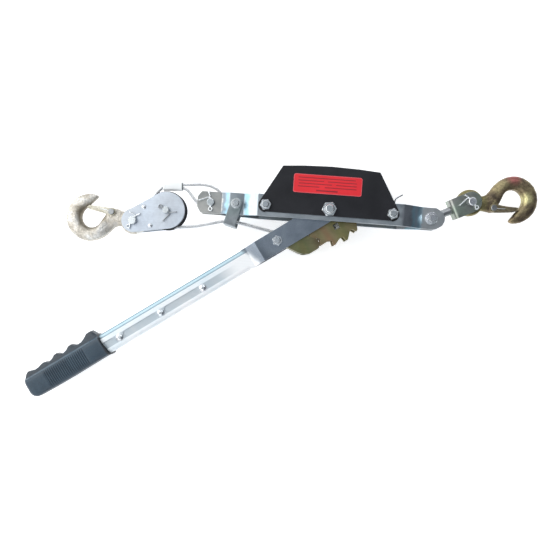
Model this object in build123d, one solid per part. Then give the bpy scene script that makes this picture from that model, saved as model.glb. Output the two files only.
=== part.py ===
from build123d import *
import math
import os

os.makedirs("parts", exist_ok=True)

# Come along winch (hand ratchet cable puller), double line, with a pulley block.
# Millimetres. X runs along the line of pull, with the fixed hook at +X and the
# pulley block at -X. Y is across the frame, with the cover at +Y. Z is along the
# drum axle, with the labelled side up. The model is drawn about its middle plane
# and lifted by LIFT, so z = 0 is the face of the axle bolt's head, on which the
# tool lies, and the origin is on the axle.

# ------------------------------------------------------------------ dimensions
AXLE_D = 12.0            # axle bolt
AXLE_AF = 18.5           # its nut and head across flats
SLEEVE_D = 18.0          # spacer sleeve on the axle, on which drum and handle turn
RUN = 0.05               # radial running clearance
PLATE_IN = 21.0          # inner face of a side plate, from the middle plane
PLATE_T = 4.0            # side plate thickness
PLATE_H = 32.0           # side plate width
END_IN = 6.5             # inner face of a side plate at its narrowed ends
STEP_IN = 11.5           # inner face at the step that holds the cable guide
COVER_T = 1.5            # gear cover sheet
COVER_OUT = PLATE_IN + PLATE_T + COVER_T
HEAD_T = 7.5             # axle bolt head
LIFT = COVER_OUT + HEAD_T
BOLT_X = 92.0            # cover bolts either side of the axle
END_X = 153.1            # bolt that holds the fixed hook's swivel
GUIDE_X = -135.2         # bolt that the cable guide hangs on
ANCHOR_X = -173.7        # pin that the cable's eye is hooked on
FRAME_L = -193.5         # left tip of the side plates
FRAME_R = 173.2          # right tip of the side plates

TEETH = 16               # ratchet gear
PITCH = 360.0 / TEETH
GEAR_TIP = 51.5
GEAR_ROOT = 44.0
GEAR_IN = 10.0           # gear faces, from the middle plane
GEAR_OUT = 15.0
TOOTH_0 = -99.9          # angle of one tooth's steep tip
HUB_R = 17.0             # bare drum
COIL_R = 36.5            # wound cable

ROPE_D = 4.8             # 3/16 inch cable
ROPE_R = ROPE_D / 2

HANDLE_A = 215.0         # handle direction at rest
HANDLE_W = 31.5          # handle width
ARM_IN = 17.0            # fork arm faces
ARM_OUT = 19.5
CHAN_IN = 10.0           # handle channel faces
CHAN_OUT = 12.5
FORK_END = 117.0         # end of the flat fork arms
CHAN_START = 133.0       # start of the closed channel
CHAN_END = 506.0
PAWL_S = 87.2            # drive pawl bolt along the handle
SCREWS_S = (217.0, 288.9, 359.4)
GRIP_S = 385.8
GRIP_E = 516.5
DRIVE_ENGAGE = 5.2       # degrees from clear to engaged
STOP_ENGAGE = 4.9

SX, SY = -238.3, -16.4   # sheave axle
HX, HY = -286.5, -35.2   # pulley block's hook pin
SHEAVE_R = 28.8
GROOVE_R = 23.5          # cable centre line on the sheave
BLOCK_IN = 8.0
BLOCK_OUT = 11.0
BLOCK_BIG = 27.3
BLOCK_SMALL = 17.0
RIVETS = ((-271.7, -14.1), (-260.3, -40.8))

SWIVEL_A = 26.5          # direction of the fixed hook's swivel at rest
SWIVEL_L = 64.0          # end bolt to hook pin
CLEVIS_0 = 34.0          # near face of the clevis base, from the end bolt
CLEVIS_IN = 8.5
CLEVIS_OUT = 12.5
CLEVIS_W = 30.0
PIN_D = 12.0             # hook pins
HOOK_EYE_R = 20.0
HOOK_EYE_T = 7.5         # half thickness of the hook's eye
HOOK_T = 9.5             # half thickness of the hook's body
LUG_T = 6.3              # half thickness of the hook where its latch pivots
LEFT_HOOK_A = 180.0
RIGHT_HOOK_A = 8.8


# --------------------------------------------------------------------- helpers
def cyl(x, y, z0, z1, r):
    return Pos(x, y, (z0 + z1) / 2) * Cylinder(r, z1 - z0)


def ring(x, y, z0, z1, ro, ri):
    return cyl(x, y, z0, z1, ro) - cyl(x, y, z0 - 1, z1 + 1, ri)


def hexa(x, y, z0, z1, af, rot=0):
    sk = Pos(x, y, z0) * Rot(0, 0, rot) * RegularPolygon(af / math.sqrt(3), 6)
    return extrude(sk, z1 - z0)


def block(x0, x1, y0, y1, z0, z1):
    return Pos((x0 + x1) / 2, (y0 + y1) / 2, (z0 + z1) / 2) * Box(x1 - x0, y1 - y0, z1 - z0)


def prism(pts, z0, z1):
    f = make_face(Polyline(*[(p[0], p[1], z0) for p in pts], close=True))
    return extrude(f, z1 - z0, dir=(0, 0, 1))


def hull2(c1, r1, c2, r2, z0, z1):
    """Extruded outline of two circles and their outer tangents."""
    dx, dy = c2[0] - c1[0], c2[1] - c1[1]
    d = math.hypot(dx, dy)
    a = math.atan2(dy, dx)
    b = math.acos((r1 - r2) / d)
    p = []
    for c, r, s in ((c1, r1, 1), (c2, r2, 1), (c2, r2, -1), (c1, r1, -1)):
        p.append((c[0] + r * math.cos(a + s * b), c[1] + r * math.sin(a + s * b)))
    return prism(p, z0, z1) + cyl(c1[0], c1[1], z0, z1, r1) + cyl(c2[0], c2[1], z0, z1, r2)


def at(angle, x=0.0, y=0.0):
    return Pos(x, y, 0) * Rot(0, 0, angle)


def turn(p, deg, c=(0.0, 0.0)):
    a = math.radians(deg)
    x, y = p[0] - c[0], p[1] - c[1]
    return (c[0] + x * math.cos(a) - y * math.sin(a), c[1] + x * math.sin(a) + y * math.cos(a))


def polar(r, deg):
    return (r * math.cos(math.radians(deg)), r * math.sin(math.radians(deg)))


def rod(p, q, r):
    """Round bar between two points."""
    v = Vector(*q) - Vector(*p)
    return extrude(Plane(origin=p, z_dir=v) * Circle(r), v.length)


def wire(pts, r):
    """Round wire along straight runs, with ball corners."""
    s = None
    for a, b in zip(pts, pts[1:]):
        c = rod(a, b, r)
        s = c if s is None else s + c
    for p in pts[1:-1]:
        s = s + Pos(*p) * Sphere(r)
    return s


def tube(pts, radii, r=ROPE_R):
    """Cable along straight runs joined by tangent arcs."""
    path = FilletPolyline(*pts, radius=radii)
    v = Vector(*pts[1]) - Vector(*pts[0])
    return sweep(Plane(origin=pts[0], z_dir=v) * Circle(r), path=path)


def arc_radii(pts, cap=None):
    """Largest arc at each corner: 0.45 of the shorter run over the tangent of half the turn."""
    out = []
    for a, b, c in zip(pts, pts[1:], pts[2:]):
        u, v = Vector(*b) - Vector(*a), Vector(*c) - Vector(*b)
        t = math.radians(u.get_angle(v))
        rr = 0.45 * min(u.length, v.length) / math.tan(t / 2)
        out.append(min(rr, cap) if cap else rr)
    return out


def save(name, *solids):
    out = []
    for s in solids:
        s = s.moved(Location((0, 0, LIFT)))
        out += list(s.solids())
    if len(out) == 1:
        export_step(out[0], f"parts/{name}.step")
    else:
        export_step(Compound(children=[Solid(o.wrapped) for o in out]), f"parts/{name}.step")
    print(f"{name}: {len(out)} solid(s), {sum(o.volume for o in out) / 1000:.2f} cm3")


def both(s):
    return s, mirror(s, about=Plane.XY)


# ----------------------------------------------------------------- side plates
def strap(points, t):
    """Sheet strap from its inner face line (x, z), thickness t outwards, rounded bends."""
    inner = list(points)
    n = []
    for a, b in zip(inner, inner[1:]):
        dx, dz = b[0] - a[0], b[1] - a[1]
        m = math.hypot(dx, dz)
        n.append((-dz / m, dx / m))
    outer = [(inner[0][0] + n[0][0] * t, inner[0][1] + n[0][1] * t)]
    for i in range(1, len(inner) - 1):
        n1, n2 = n[i - 1], n[i]
        k = t / (1 + n1[0] * n2[0] + n1[1] * n2[1])
        outer.append((inner[i][0] + (n1[0] + n2[0]) * k, inner[i][1] + (n1[1] + n2[1]) * k))
    outer.append((inner[-1][0] + n[-1][0] * t, inner[-1][1] + n[-1][1] * t))
    return inner, outer


def side_plate():
    line = [(FRAME_L, END_IN), (-156.5, END_IN), (-145.0, STEP_IN), (-123.0, STEP_IN),
            (-103.0, PLATE_IN), (108.8, PLATE_IN), (138.0, END_IN), (FRAME_R, END_IN)]
    inner, outer = strap(line, PLATE_T)
    pts = inner + outer[::-1]
    face = make_face(Polyline(*[(p[0], 0, p[1]) for p in pts], close=True))
    k = len(inner)
    # bends: radius 2 on the hollow side and 6 on the outside of each bend
    for i in range(1, k - 1):
        a, b, c = inner[i - 1], inner[i], inner[i + 1]
        cr = (b[0] - a[0]) * (c[1] - b[1]) - (b[1] - a[1]) * (c[0] - b[0])
        for p, r in ((inner[i], 6.0 if cr < 0 else 2.0), (outer[i], 2.0 if cr < 0 else 6.0)):
            r = {6.0: 2.0, 2.0: 6.0}[r]
            v = [w for w in face.vertices() if abs(w.X - p[0]) < 1e-3 and abs(w.Z - p[1]) < 1e-3]
            face = fillet(v, r)
            face = face.faces()[0] if not isinstance(face, Face) else face
    solid = extrude(face, PLATE_H, dir=(0, 1, 0)).moved(Location((0, -PLATE_H / 2, 0)))
    h = PLATE_H / 2
    # outline seen from the front: clipped and rounded tips
    tip = FRAME_L
    out = make_face(Polyline(
        (tip, -7.5, 0), (tip + 5.5, -h, 0), (FRAME_R - 13.0, -h, 0), (FRAME_R - 3.5, -10.0, 0),
        (FRAME_R, -3.0, 0), (FRAME_R, 3.0, 0), (FRAME_R - 3.5, 10.0, 0), (FRAME_R - 13.0, h, 0),
        (tip + 5.5, h, 0), (tip, 7.5, 0), close=True))
    out = fillet(out.vertices(), 4.0)
    solid = solid & extrude(out, 40, dir=(0, 0, 1))
    holes = [(0, AXLE_D / 2 + 0.1), (-BOLT_X, 4.1), (BOLT_X, 4.1), (END_X, 5.1), (GUIDE_X, 4.1), (ANCHOR_X, 5.6)]
    for x, r in holes:
        solid -= cyl(x, 0, -1, 60, r)
    return solid


plate = side_plate()
f, r_ = both(plate)
save("front_side_plate", f)
save("rear_side_plate", r_)


# ------------------------------------------------------------------ gear cover
def cover_outline(z0, z1, inset=0.0):
    top = 59.0 - inset
    pts = [(-BOLT_X - 8.9 + inset * 1.2, 5.6), (-70.5 + inset * 0.5, top), (-40, 61.2 - inset), (0, 62.4 - inset),
           (40, 61.2 - inset), (70.5 - inset * 0.5, top), (BOLT_X + 8.9 - inset * 1.2, 5.6),
           (BOLT_X, -9.5), (-BOLT_X, -9.5)]
    s = prism(pts, z0, z1)
    if not inset:
        s = s + cyl(-BOLT_X, 0, z0, z1, 10.5) + cyl(BOLT_X, 0, z0, z1, 10.5)
        s = s - block(-BOLT_X, BOLT_X, -20, -9.5, z0 - 1, z1 + 1)
    return s


c0 = PLATE_IN + PLATE_T
sheet = cover_outline(c0, COVER_OUT)
web = cover_outline(-COVER_OUT, COVER_OUT)
web = web - cover_outline(-c0 - 5, c0 + 5, COVER_T) - block(-110, 110, -30, 57.2, -c0, c0)
web = web & block(-71.4, 71.4, 40, 70, -30, 30)
cover = sheet + mirror(sheet, about=Plane.XY) + web
top_edges = [e for e in cover.edges() if e.center().Y > 58.5 and abs(abs(e.center().Z) - COVER_OUT) < 0.01
             and e.length > 20]
try:
    cover = fillet(top_edges, 1.2)
except Exception as err:
    print("cover edge left sharp:", err)
for x, r in ((0, AXLE_D / 2 + 0.1), (-BOLT_X, 4.1), (BOLT_X, 4.1)):
    cover -= cyl(x, 0, -30, 30, r)
save("gear_cover", cover)

lab = Pos(-4.3, 35.2, COVER_OUT) * RectangleRounded(99.4, 27.1, 3.0)
save("label_plate", extrude(lab, 0.4))

# ------------------------------------------------------- axle, bolts and nuts
n0 = COVER_OUT
axle = cyl(0, 0, -n0, n0 + 12.0, AXLE_D / 2) + hexa(0, 0, -n0 - HEAD_T, -n0, AXLE_AF, 12)
axle = chamfer([e for e in axle.edges() if e.geom_type == GeomType.CIRCLE and abs(e.center().Z - n0 - 12.0) < 0.01], 1.0)
save("axle_bolt", axle)


def lock_nut(x, y, z, af, bore, t, collar, rot=0):
    """Hex lock nut: chamfered hexagon with a raised round collar, seated at height z."""
    n = hexa(x, y, z, z + t, af, rot)
    cone = Pos(x, y, z + t / 2) * Cone(af / 2 + 0.35 + t, af / 2 + 0.35, t)
    n = n & (Pos(x, y, z + t / 2 - 0.0) * Cone(af * 0.5 + 0.25 + t * 1.2, af * 0.5 + 0.25, t))
    n = n + cyl(x, y, z + t, z + t + collar, af * 0.40)
    e = [k for k in n.edges() if k.geom_type == GeomType.CIRCLE and abs(k.center().Z - (z + t + collar)) < 0.01]
    n = fillet(e, collar * 0.6)
    return n - cyl(x, y, z - 1, z + t + collar + 1, bore / 2)


save("axle_nut", lock_nut(0, 0, n0, AXLE_AF, AXLE_D + 0.1, 7.5, 3.0, 8))
save("axle_sleeve", ring(0, 0, -PLATE_IN, PLATE_IN, SLEEVE_D / 2, AXLE_D / 2 + 0.1))
wash = []
for a, b in ((GEAR_OUT + 0.1, ARM_IN - 0.1), (ARM_OUT + 0.1, PLATE_IN - 0.1)):
    w = ring(0, 0, a, b, 13.0, SLEEVE_D / 2 + 0.1)
    wash += [w, mirror(w, about=Plane.XY)]
save("axle_washers", *wash)

cb, cn = [], []
for x, rot in ((-BOLT_X, 10), (BOLT_X, 22)):
    b = cyl(x, 0, -n0, n0 + 9.0, 4.0) + hexa(x, 0, -n0 - 5.5, -n0, 13.5, rot)
    cb.append(b)
    cn.append(lock_nut(x, 0, n0, 14.0, 8.1, 5.5, 2.5, rot))
save("cover_bolts", *cb)
save("frame_spacers", ring(-BOLT_X, 0, -PLATE_IN, PLATE_IN, 7.0, 4.1), ring(BOLT_X, 0, -PLATE_IN, PLATE_IN, 6.0, 4.1))

e0 = END_IN + PLATE_T
save("end_bolt", cyl(END_X, 0, -e0, e0 + 9.6, 5.0) + hexa(END_X, 0, -e0 - 6.0, -e0, 16.0, 15))
cn.append(lock_nut(END_X, 0, e0 + 1.6, 15.0, 10.1, 4.8, 2.4, 20))

# ------------------------------------------------------------- cable guide
GUIDE_A = 255.0 - 0.0    # direction of the guide's arms, hanging left of straight down
g0 = STEP_IN + PLATE_T + 0.2
gt = 2.0
GUIDE_L = 32.1           # bolt to the web's inner face
gl = at(GUIDE_A, GUIDE_X, 0)
arm = hull2((0, 0), 9.0, (GUIDE_L - 12, 0), 9.0, g0, g0 + gt)
arm = arm + block(0, GUIDE_L + gt, -9, 9, g0, g0 + gt)
webg = block(GUIDE_L, GUIDE_L + gt, -9, 9, -g0 - gt, g0 + gt)
guide = arm + mirror(arm, about=Plane.XY) + webg
ge = [e for e in guide.edges() if e.geom_type == GeomType.LINE and abs(e.center().X - GUIDE_L - gt) < 0.01
      and abs(abs(e.center().Z) - g0 - gt) < 0.01 and e.length > 17]
guide = fillet(ge, 1.9)
guide -= cyl(0, 0, -40, 40, 4.05)
save("cable_guide", gl * guide)
gz = g0 + gt + 0.1
save("guide_bolt", cyl(GUIDE_X, 0, -gz, gz + 8.6, 4.0) + hexa(GUIDE_X, 0, -gz - 5.0, -gz, 13.0, 5))
cn.append(lock_nut(GUIDE_X, 0, gz + 1.4, 12.5, 8.1, 4.6, 2.2, 25))
save("frame_lock_nuts", *cn)
save("frame_washers", ring(END_X, 0, e0, e0 + 1.6, 9.2, 5.1), ring(GUIDE_X, 0, gz, gz + 1.4, 7.6, 4.1))

# ------------------------------------------------------ anchor pin and cotter
COT = 1.05


def clevis_pin(x, y, z_in, r, ang, cot_z, end, head_r=7.5, head_t=3.0):
    """Headed pin with a cotter hole near its front end, headed at the rear."""
    p = cyl(x, y, -z_in, end, r) + cyl(x, y, -z_in - head_t, -z_in, head_r)
    e = [k for k in p.edges() if k.geom_type == GeomType.CIRCLE
         and (abs(k.center().Z - end) < 0.01 or abs(k.center().Z + z_in + head_t) < 0.01)]
    p = chamfer(e, 0.8)
    d = polar(r + 3, ang)
    return p - rod((x - d[0], y - d[1], cot_z), (x + d[0], y + d[1], cot_z), COT + 0.15)


def cotter(x, y, z, ang, r, leg1, leg2):
    """Split pin: eye on one side of the pin, two bent legs on the other. ang points to the legs."""
    d = polar(1.0, ang)
    back = r + 4.2
    loop = (x - d[0] * back, y - d[1] * back, z)
    a = (x - d[0] * (back - 2.4), y - d[1] * (back - 2.4), z)
    b = (x + d[0] * (r + 1.6), y + d[1] * (r + 1.6), z)
    s = rod(a, b, COT) + Pos(*b) * Sphere(COT)
    s = s + Pos(*loop) * Torus(2.5, COT * 0.85)
    for leg in (leg1, leg2):
        q = (x + leg[0], y + leg[1], z + 0.4)
        s = s + rod(b, q, COT * 0.75)
    return s


az = END_IN + PLATE_T + 2.0
anchor_a = 93.4
save("anchor_pin", clevis_pin(ANCHOR_X, 0, e0, 5.5, anchor_a, az, az + 2.6, 8.0))
save("anchor_cotter", cotter(ANCHOR_X, 0, az, anchor_a, 5.5, (-3.9, 15.8), (-17.6, 1.5)))

# -------------------------------------------------------------------- the drum
def gear():
    pts = []
    for i in range(TEETH):
        a = TOOTH_0 + PITCH * i
        pts += [polar(GEAR_ROOT, a - 1.6), polar(GEAR_TIP, a), polar(GEAR_TIP, a + 3.4), polar(GEAR_ROOT, a + 15.0)]
    g = prism(pts, GEAR_IN, GEAR_OUT)
    g -= cyl(0, 0, 0, 20, SLEEVE_D / 2 + RUN)
    # square window for the cable's end, and three round ones for lightness
    g -= Pos(13.6, -22.2, 12) * Rot(0, 0, 33) * Box(8.5, 8.5, 20)
    for k in range(1, 4):
        p = turn((13.6, -22.2), 90 * k)
        g -= cyl(p[0], p[1], 0, 20, 4.0)
    return g


g = gear()
rv = [polar(13.2, 45 + 90 * k) for k in range(4)]
for p in rv:
    g -= cyl(p[0], p[1], 0, 20, 2.5)
gf, gr = both(g)
save("front_ratchet_gear", gf)
save("rear_ratchet_gear", gr)
hub = ring(0, 0, -GEAR_IN, GEAR_IN, HUB_R, SLEEVE_D / 2 + RUN)
for p in rv:
    hub -= cyl(p[0], p[1], -20, 20, 2.5)
save("drum_hub", hub)
save("drum_rivets", *[cyl(p[0], p[1], -GEAR_OUT, GEAR_OUT, 2.5) for p in rv])
save("cable_coil", ring(0, 0, -GEAR_IN + 0.1, GEAR_IN - 0.1, COIL_R, HUB_R))

# ----------------------------------------------------------------- stop pawl
def pawl(outline, pivot, boss, bore, ang):
    """Pawl drawn engaged, turned clear of the teeth by ang about its pivot."""
    s = prism([turn(p, ang, pivot) for p in outline], -GEAR_OUT - 0.5, GEAR_OUT + 0.5)
    s = s + cyl(pivot[0], pivot[1], -GEAR_OUT - 0.5, GEAR_OUT + 0.5, boss)
    return s - cyl(pivot[0], pivot[1], -30, 30, bore)


def tooth_face(r, deg, back):
    """Point on the steep flank at radius r, set back clockwise by an angle."""
    return polar(r, deg - 1.6 * (GEAR_TIP - r) / (GEAR_TIP - GEAR_ROOT) - back)


st = TOOTH_0 + 7 * PITCH
sp = [tooth_face(46.8, st, 0.6), tooth_face(51.5, st, 0.6), (30.4, 44.6), (36.5, 44.6), (60, 31.5), (82, 11),
      (92, 4), (86, -7.6), (80, 4), (60, 18), (46, 29.5), (42.8, 33.4), (36.5, 35.2), polar(46.8, st - 5.5)]
stop = pawl(sp, (BOLT_X, 0), 10.0, 6.0 + RUN, -STOP_ENGAGE)
stop -= ring(BOLT_X, 0, 10.0, 20.0, 13.2, 6.0)     # room for the spring's coil
save("stop_pawl", stop)
spz = 13.2
spring = ring(BOLT_X, 0, 10.4, 15.6, 8.6, 6.6)
tail = [(BOLT_X + 3.4, 6.9, spz), (96.5, 24.0, spz), (108.0, 31.2, spz)]
spring = spring + wire(tail, 1.0)
save("stop_pawl_spring", spring)

# ------------------------------------------------------------------ handle
H = at(HANDLE_A)
w2 = HANDLE_W / 2


def fork_arm():
    line = [(-w2, ARM_IN), (FORK_END, ARM_IN), (CHAN_START, CHAN_IN), (CHAN_START + 8, CHAN_IN)]
    inner, outer = strap(line, ARM_OUT - ARM_IN)
    face = make_face(Polyline(*[(p[0], 0, p[1]) for p in inner + outer[::-1]], close=True))
    for p, r in ((inner[1], 1.5), (outer[1], 4.0), (inner[2], 4.0), (outer[2], 1.5)):
        v = [q for q in face.vertices() if abs(q.X - p[0]) < 1e-3 and abs(q.Z - p[1]) < 1e-3]
        face = fillet(v, r)
        face = face.faces()[0] if not isinstance(face, Face) else face
    s = extrude(face, HANDLE_W, dir=(0, 1, 0)).moved(Location((0, -w2, 0)))
    keep = block(0, 200, -w2, w2, -30, 30) + cyl(0, 0, -30, 30, w2)
    return (s & keep) - cyl(0, 0, -30, 30, SLEEVE_D / 2 + RUN) - cyl(PAWL_S, 0, -30, 30, 4.05)


def channel(pts, rounds, s0, s1):
    face = make_face(Polyline(*[(0, p[0], p[1]) for p in pts], close=True))
    for p, r in rounds:
        v = [q for q in face.vertices() if abs(q.Y - p[0]) < 1e-3 and abs(q.Z - p[1]) < 1e-3]
        face = fillet(v, r)
        face = face.faces()[0] if not isinstance(face, Face) else face
    return extrude(face, s1 - s0, dir=(1, 0, 0)).moved(Location((s0, 0, 0)))


ct = CHAN_OUT - CHAN_IN
seam = -9.5
fp = [(w2, 0.15), (w2, CHAN_OUT), (seam, CHAN_OUT), (seam, 9.3), (seam + 2.0, 9.3), (seam + 2.0, CHAN_IN),
      (w2 - 2.2, CHAN_IN), (w2 - 2.2, 0.15)]
front = channel(fp, [((w2, CHAN_OUT), 5.0), ((w2 - 2.2, CHAN_IN), 2.8), ((seam, CHAN_OUT), 1.0)], CHAN_START, CHAN_END)
rp = [(w2, -0.15), (w2, -CHAN_OUT), (-w2, -CHAN_OUT), (-w2, 9.0), (seam + 3.2, 9.0), (seam + 3.2, 6.8),
      (-w2 + 2.2, 6.8), (-w2 + 2.2, -CHAN_IN), (w2 - 2.2, -CHAN_IN), (w2 - 2.2, -0.15)]
rear = channel(rp, [((w2, -CHAN_OUT), 5.0), ((-w2, -CHAN_OUT), 5.0), ((-w2, 9.0), 5.0), ((w2 - 2.2, -CHAN_IN), 2.8),
                    ((-w2 + 2.2, -CHAN_IN), 2.8), ((-w2 + 2.2, 6.8), 2.8)], CHAN_START, CHAN_END)
armf = fork_arm()
front = front + armf
rear = rear + mirror(armf, about=Plane.XY)
# pressed grooves between the screws on the front half
for a, b in ((SCREWS_S[0] + 6.5, SCREWS_S[1] - 6.5), (SCREWS_S[1] + 6.5, SCREWS_S[2] - 6.5), (SCREWS_S[2] + 6.5, 400.0)):
    groove = extrude(Pos((a + b) / 2, 3.0, CHAN_OUT - 1.2) * SlotOverall(b - a, 11.0), 2.0)
    rib = extrude(Pos((a + b) / 2, 3.0, CHAN_IN - 1.0) * SlotOverall(b - a - 1.0, 10.0), 1.4)
    front = front - groove + rib
for s in SCREWS_S:
    front -= cyl(s, 3.0, -30, 30, 2.6)
    rear -= cyl(s, 3.0, -30, 30, 2.6)
save("handle_front_half", H * front)
save("handle_rear_half", H * rear)

scr, nts = [], []
for s in SCREWS_S:
    dome = Pos(s, 3.0, CHAN_OUT) * (Sphere(7.4).moved(Location((0, 0, -4.0))) & block(-8, 8, -8, 8, 0, 4))
    cross = block(s - 2.6, s + 2.6, 2.35, 3.65, CHAN_OUT + 1.8, CHAN_OUT + 6) + block(s - 0.65, s + 0.65, 0.4, 5.6, CHAN_OUT + 1.8, CHAN_OUT + 6)
    scr.append(H * (dome + cyl(s, 3.0, -CHAN_OUT - 5.2, CHAN_OUT, 2.5) - cross))
    nts.append(H * (hexa(s, 3.0, -CHAN_OUT - 4.2, -CHAN_OUT, 9.0) - cyl(s, 3.0, -30, 0, 2.55)))
save("handle_screws", *scr)
save("handle_nuts", *nts)

# grip: rubber sleeve with finger ridges on its upper side
def grip():
    body = extrude(Plane(origin=(GRIP_S, 1.1, 0), x_dir=(0, 1, 0), z_dir=(1, 0, 0)) * RectangleRounded(33.6, 32.0, 11.0), GRIP_E - GRIP_S)
    ends = [e for e in body.edges() if abs(e.center().X - GRIP_E) < 0.01]
    body = fillet(ends, 7.0)
    ridge = [(GRIP_S + 1.5, -12), (GRIP_S + 1.5, -18.5), (392, -25.5), (396.5, -27.2), (404, -26.0), (411, -21.6), (418, -20.6),
             (424, -21.6), (429, -25.4), (433, -25.8), (438, -22.6), (444, -20.2), (450, -21.8), (454, -25.3), (458.5, -25.5),
             (464, -22.0), (470, -20.2), (474, -22.0), (477.5, -23.8), (481.5, -23.4), (488, -20.8), (495, -21.0), (502, -23.2),
             (507, -23.4), (511.5, -20.0), (513, -12)]
    r = prism(ridge, -9.5, 9.5)
    g = body + r
    core = block(GRIP_S - 1, CHAN_END + 0.2, -w2 - 0.05, w2 + 0.05, -CHAN_OUT - 0.05, CHAN_OUT + 0.05)
    return g - core


save("handle_grip", H * grip())

hz = ARM_OUT
save("drive_pawl_bolt", H * (cyl(PAWL_S, 0, -hz, hz + 8.0, 4.0) + hexa(PAWL_S, 0, -hz - 5.0, -hz, 13.0, 10)))
save("drive_pawl_nut", H * lock_nut(PAWL_S, 0, hz, 13.0, 8.1, 5.0, 2.2, 14))
save("drive_pawl_sleeve", H * ring(PAWL_S, 0, -ARM_IN, ARM_IN, 6.0, 4.05))

dt = TOOTH_0 + 360 - HANDLE_A
dp = [tooth_face(46.8, dt, 0.7), tooth_face(51.3, dt, 0.7), (39.5, 36.2), (45, 36.6), (54, 36.2), (62, 32.6), (70, 25.0), (77, 16),
      (88, 8), (81, -6), (72, 4), (58, 16.5), (51, 23.6), (46.8, 27.6), (39, 28.8), polar(46.8, dt - 5.0)]
dp_solid = pawl(dp, (PAWL_S, 0), 9.4, 6.0 + RUN, -DRIVE_ENGAGE)
dp_solid -= mirror(ring(PAWL_S, 0, 10.0, 20.0, 12.6, 6.0), about=Plane.XY)
# side cheeks that lap over the gears' teeth
ck = [turn(q, -DRIVE_ENGAGE, (PAWL_S, 0)) for q in
      ((84.0, 4.0), (80.0, 12.0), (73.4, 21.0), (67.8, 28.0), (61.2, 34.4), (52.4, 37.0), (44.7, 36.8), (38.8, 35.4), (33.4, 31.0),
       (33.2, 24.0), (36.4, 19.6), (41.0, 16.0), (50.0, 8.0), (66.0, -2.0), (80.0, -5.0))]
cheek = prism(ck, GEAR_OUT + 0.3, GEAR_OUT + 1.8) - cyl(PAWL_S, 0, -30, 30, 6.0 + RUN)
dp_solid = dp_solid + cheek + mirror(cheek, about=Plane.XY)
save("drive_pawl", H * dp_solid)
dsp = mirror(ring(PAWL_S, 0, 10.4, 15.1, 8.4, 6.6), about=Plane.XY)
dsp = dsp + wire([(PAWL_S + 6.6, -3.2, -13.0), (PAWL_S + 22.0, -9.0, -13.0)], 0.9)
save("drive_pawl_spring", H * dsp)

# ---------------------------------------------------------------- pulley block
bf = hull2((SX, SY), BLOCK_BIG, (HX, HY), BLOCK_SMALL, BLOCK_IN, BLOCK_OUT)
bf -= cyl(SX, SY, 0, 20, 5.05)
bf -= cyl(HX, HY, 0, 20, PIN_D / 2 + 0.05)
for p in RIVETS:
    bf -= cyl(p[0], p[1], 0, 20, 2.0)
b1, b2 = both(bf)
save("block_front_plate", b1)
save("block_rear_plate", b2)

half = make_face(Polyline((7.0, 0, -6.4), (SHEAVE_R - 0.6, 0, -6.4), (SHEAVE_R, 0, -5.8), (SHEAVE_R, 0, -5.2), (23.5, 0, -2.6))
                 + ThreePointArc((23.5, 0, -2.6), (20.9, 0, 0), (23.5, 0, 2.6))
                 + Polyline((23.5, 0, 2.6), (SHEAVE_R, 0, 5.2), (SHEAVE_R, 0, 5.8), (SHEAVE_R - 0.6, 0, 6.4), (7.0, 0, 6.4))
                 + Polyline((7.0, 0, 6.4), (7.0, 0, -6.4)))
sheave = revolve(half, Axis.Z)
for s in (1, -1):
    rr = ring(0, 0, 5.2, 8.0, 20.0, 10.5)
    sheave -= rr if s > 0 else mirror(rr, about=Plane.XY)
save("sheave", Pos(SX, SY, 0) * sheave)
save("sheave_bush", ring(SX, SY, -7.4, 7.4, 7.0, 5.0 + RUN))
riv = []
for p in RIVETS:
    q = cyl(p[0], p[1], -BLOCK_IN, BLOCK_IN, 3.4) + cyl(p[0], p[1], -BLOCK_OUT, BLOCK_OUT, 2.0)
    for s in (1, -1):
        d = Pos(p[0], p[1], s * BLOCK_OUT) * (Sphere(4.6).moved(Location((0, 0, -s * 2.6))) & (block(-6, 6, -6, 6, 0, 4) if s > 0 else block(-6, 6, -6, 6, -4, 0)))
        q = q + d
    riv.append(q)
save("block_rivets", *riv)
bz = BLOCK_OUT + 2.2
save("sheave_pin", clevis_pin(SX, SY, BLOCK_OUT, 5.0, -27.0, bz, bz + 3.0))
save("left_hook_pin", clevis_pin(HX, HY, BLOCK_OUT, PIN_D / 2, 60.0, bz, bz + 3.0, 9.0))
save("block_cotters", cotter(SX, SY, bz, -27.0, 5.0, (-3.3, -17.1), (16.2, -1.8)),
     cotter(HX, HY, bz, 60.0, PIN_D / 2, (-5.3, 12.4), (11.3, 10.7)))


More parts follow.
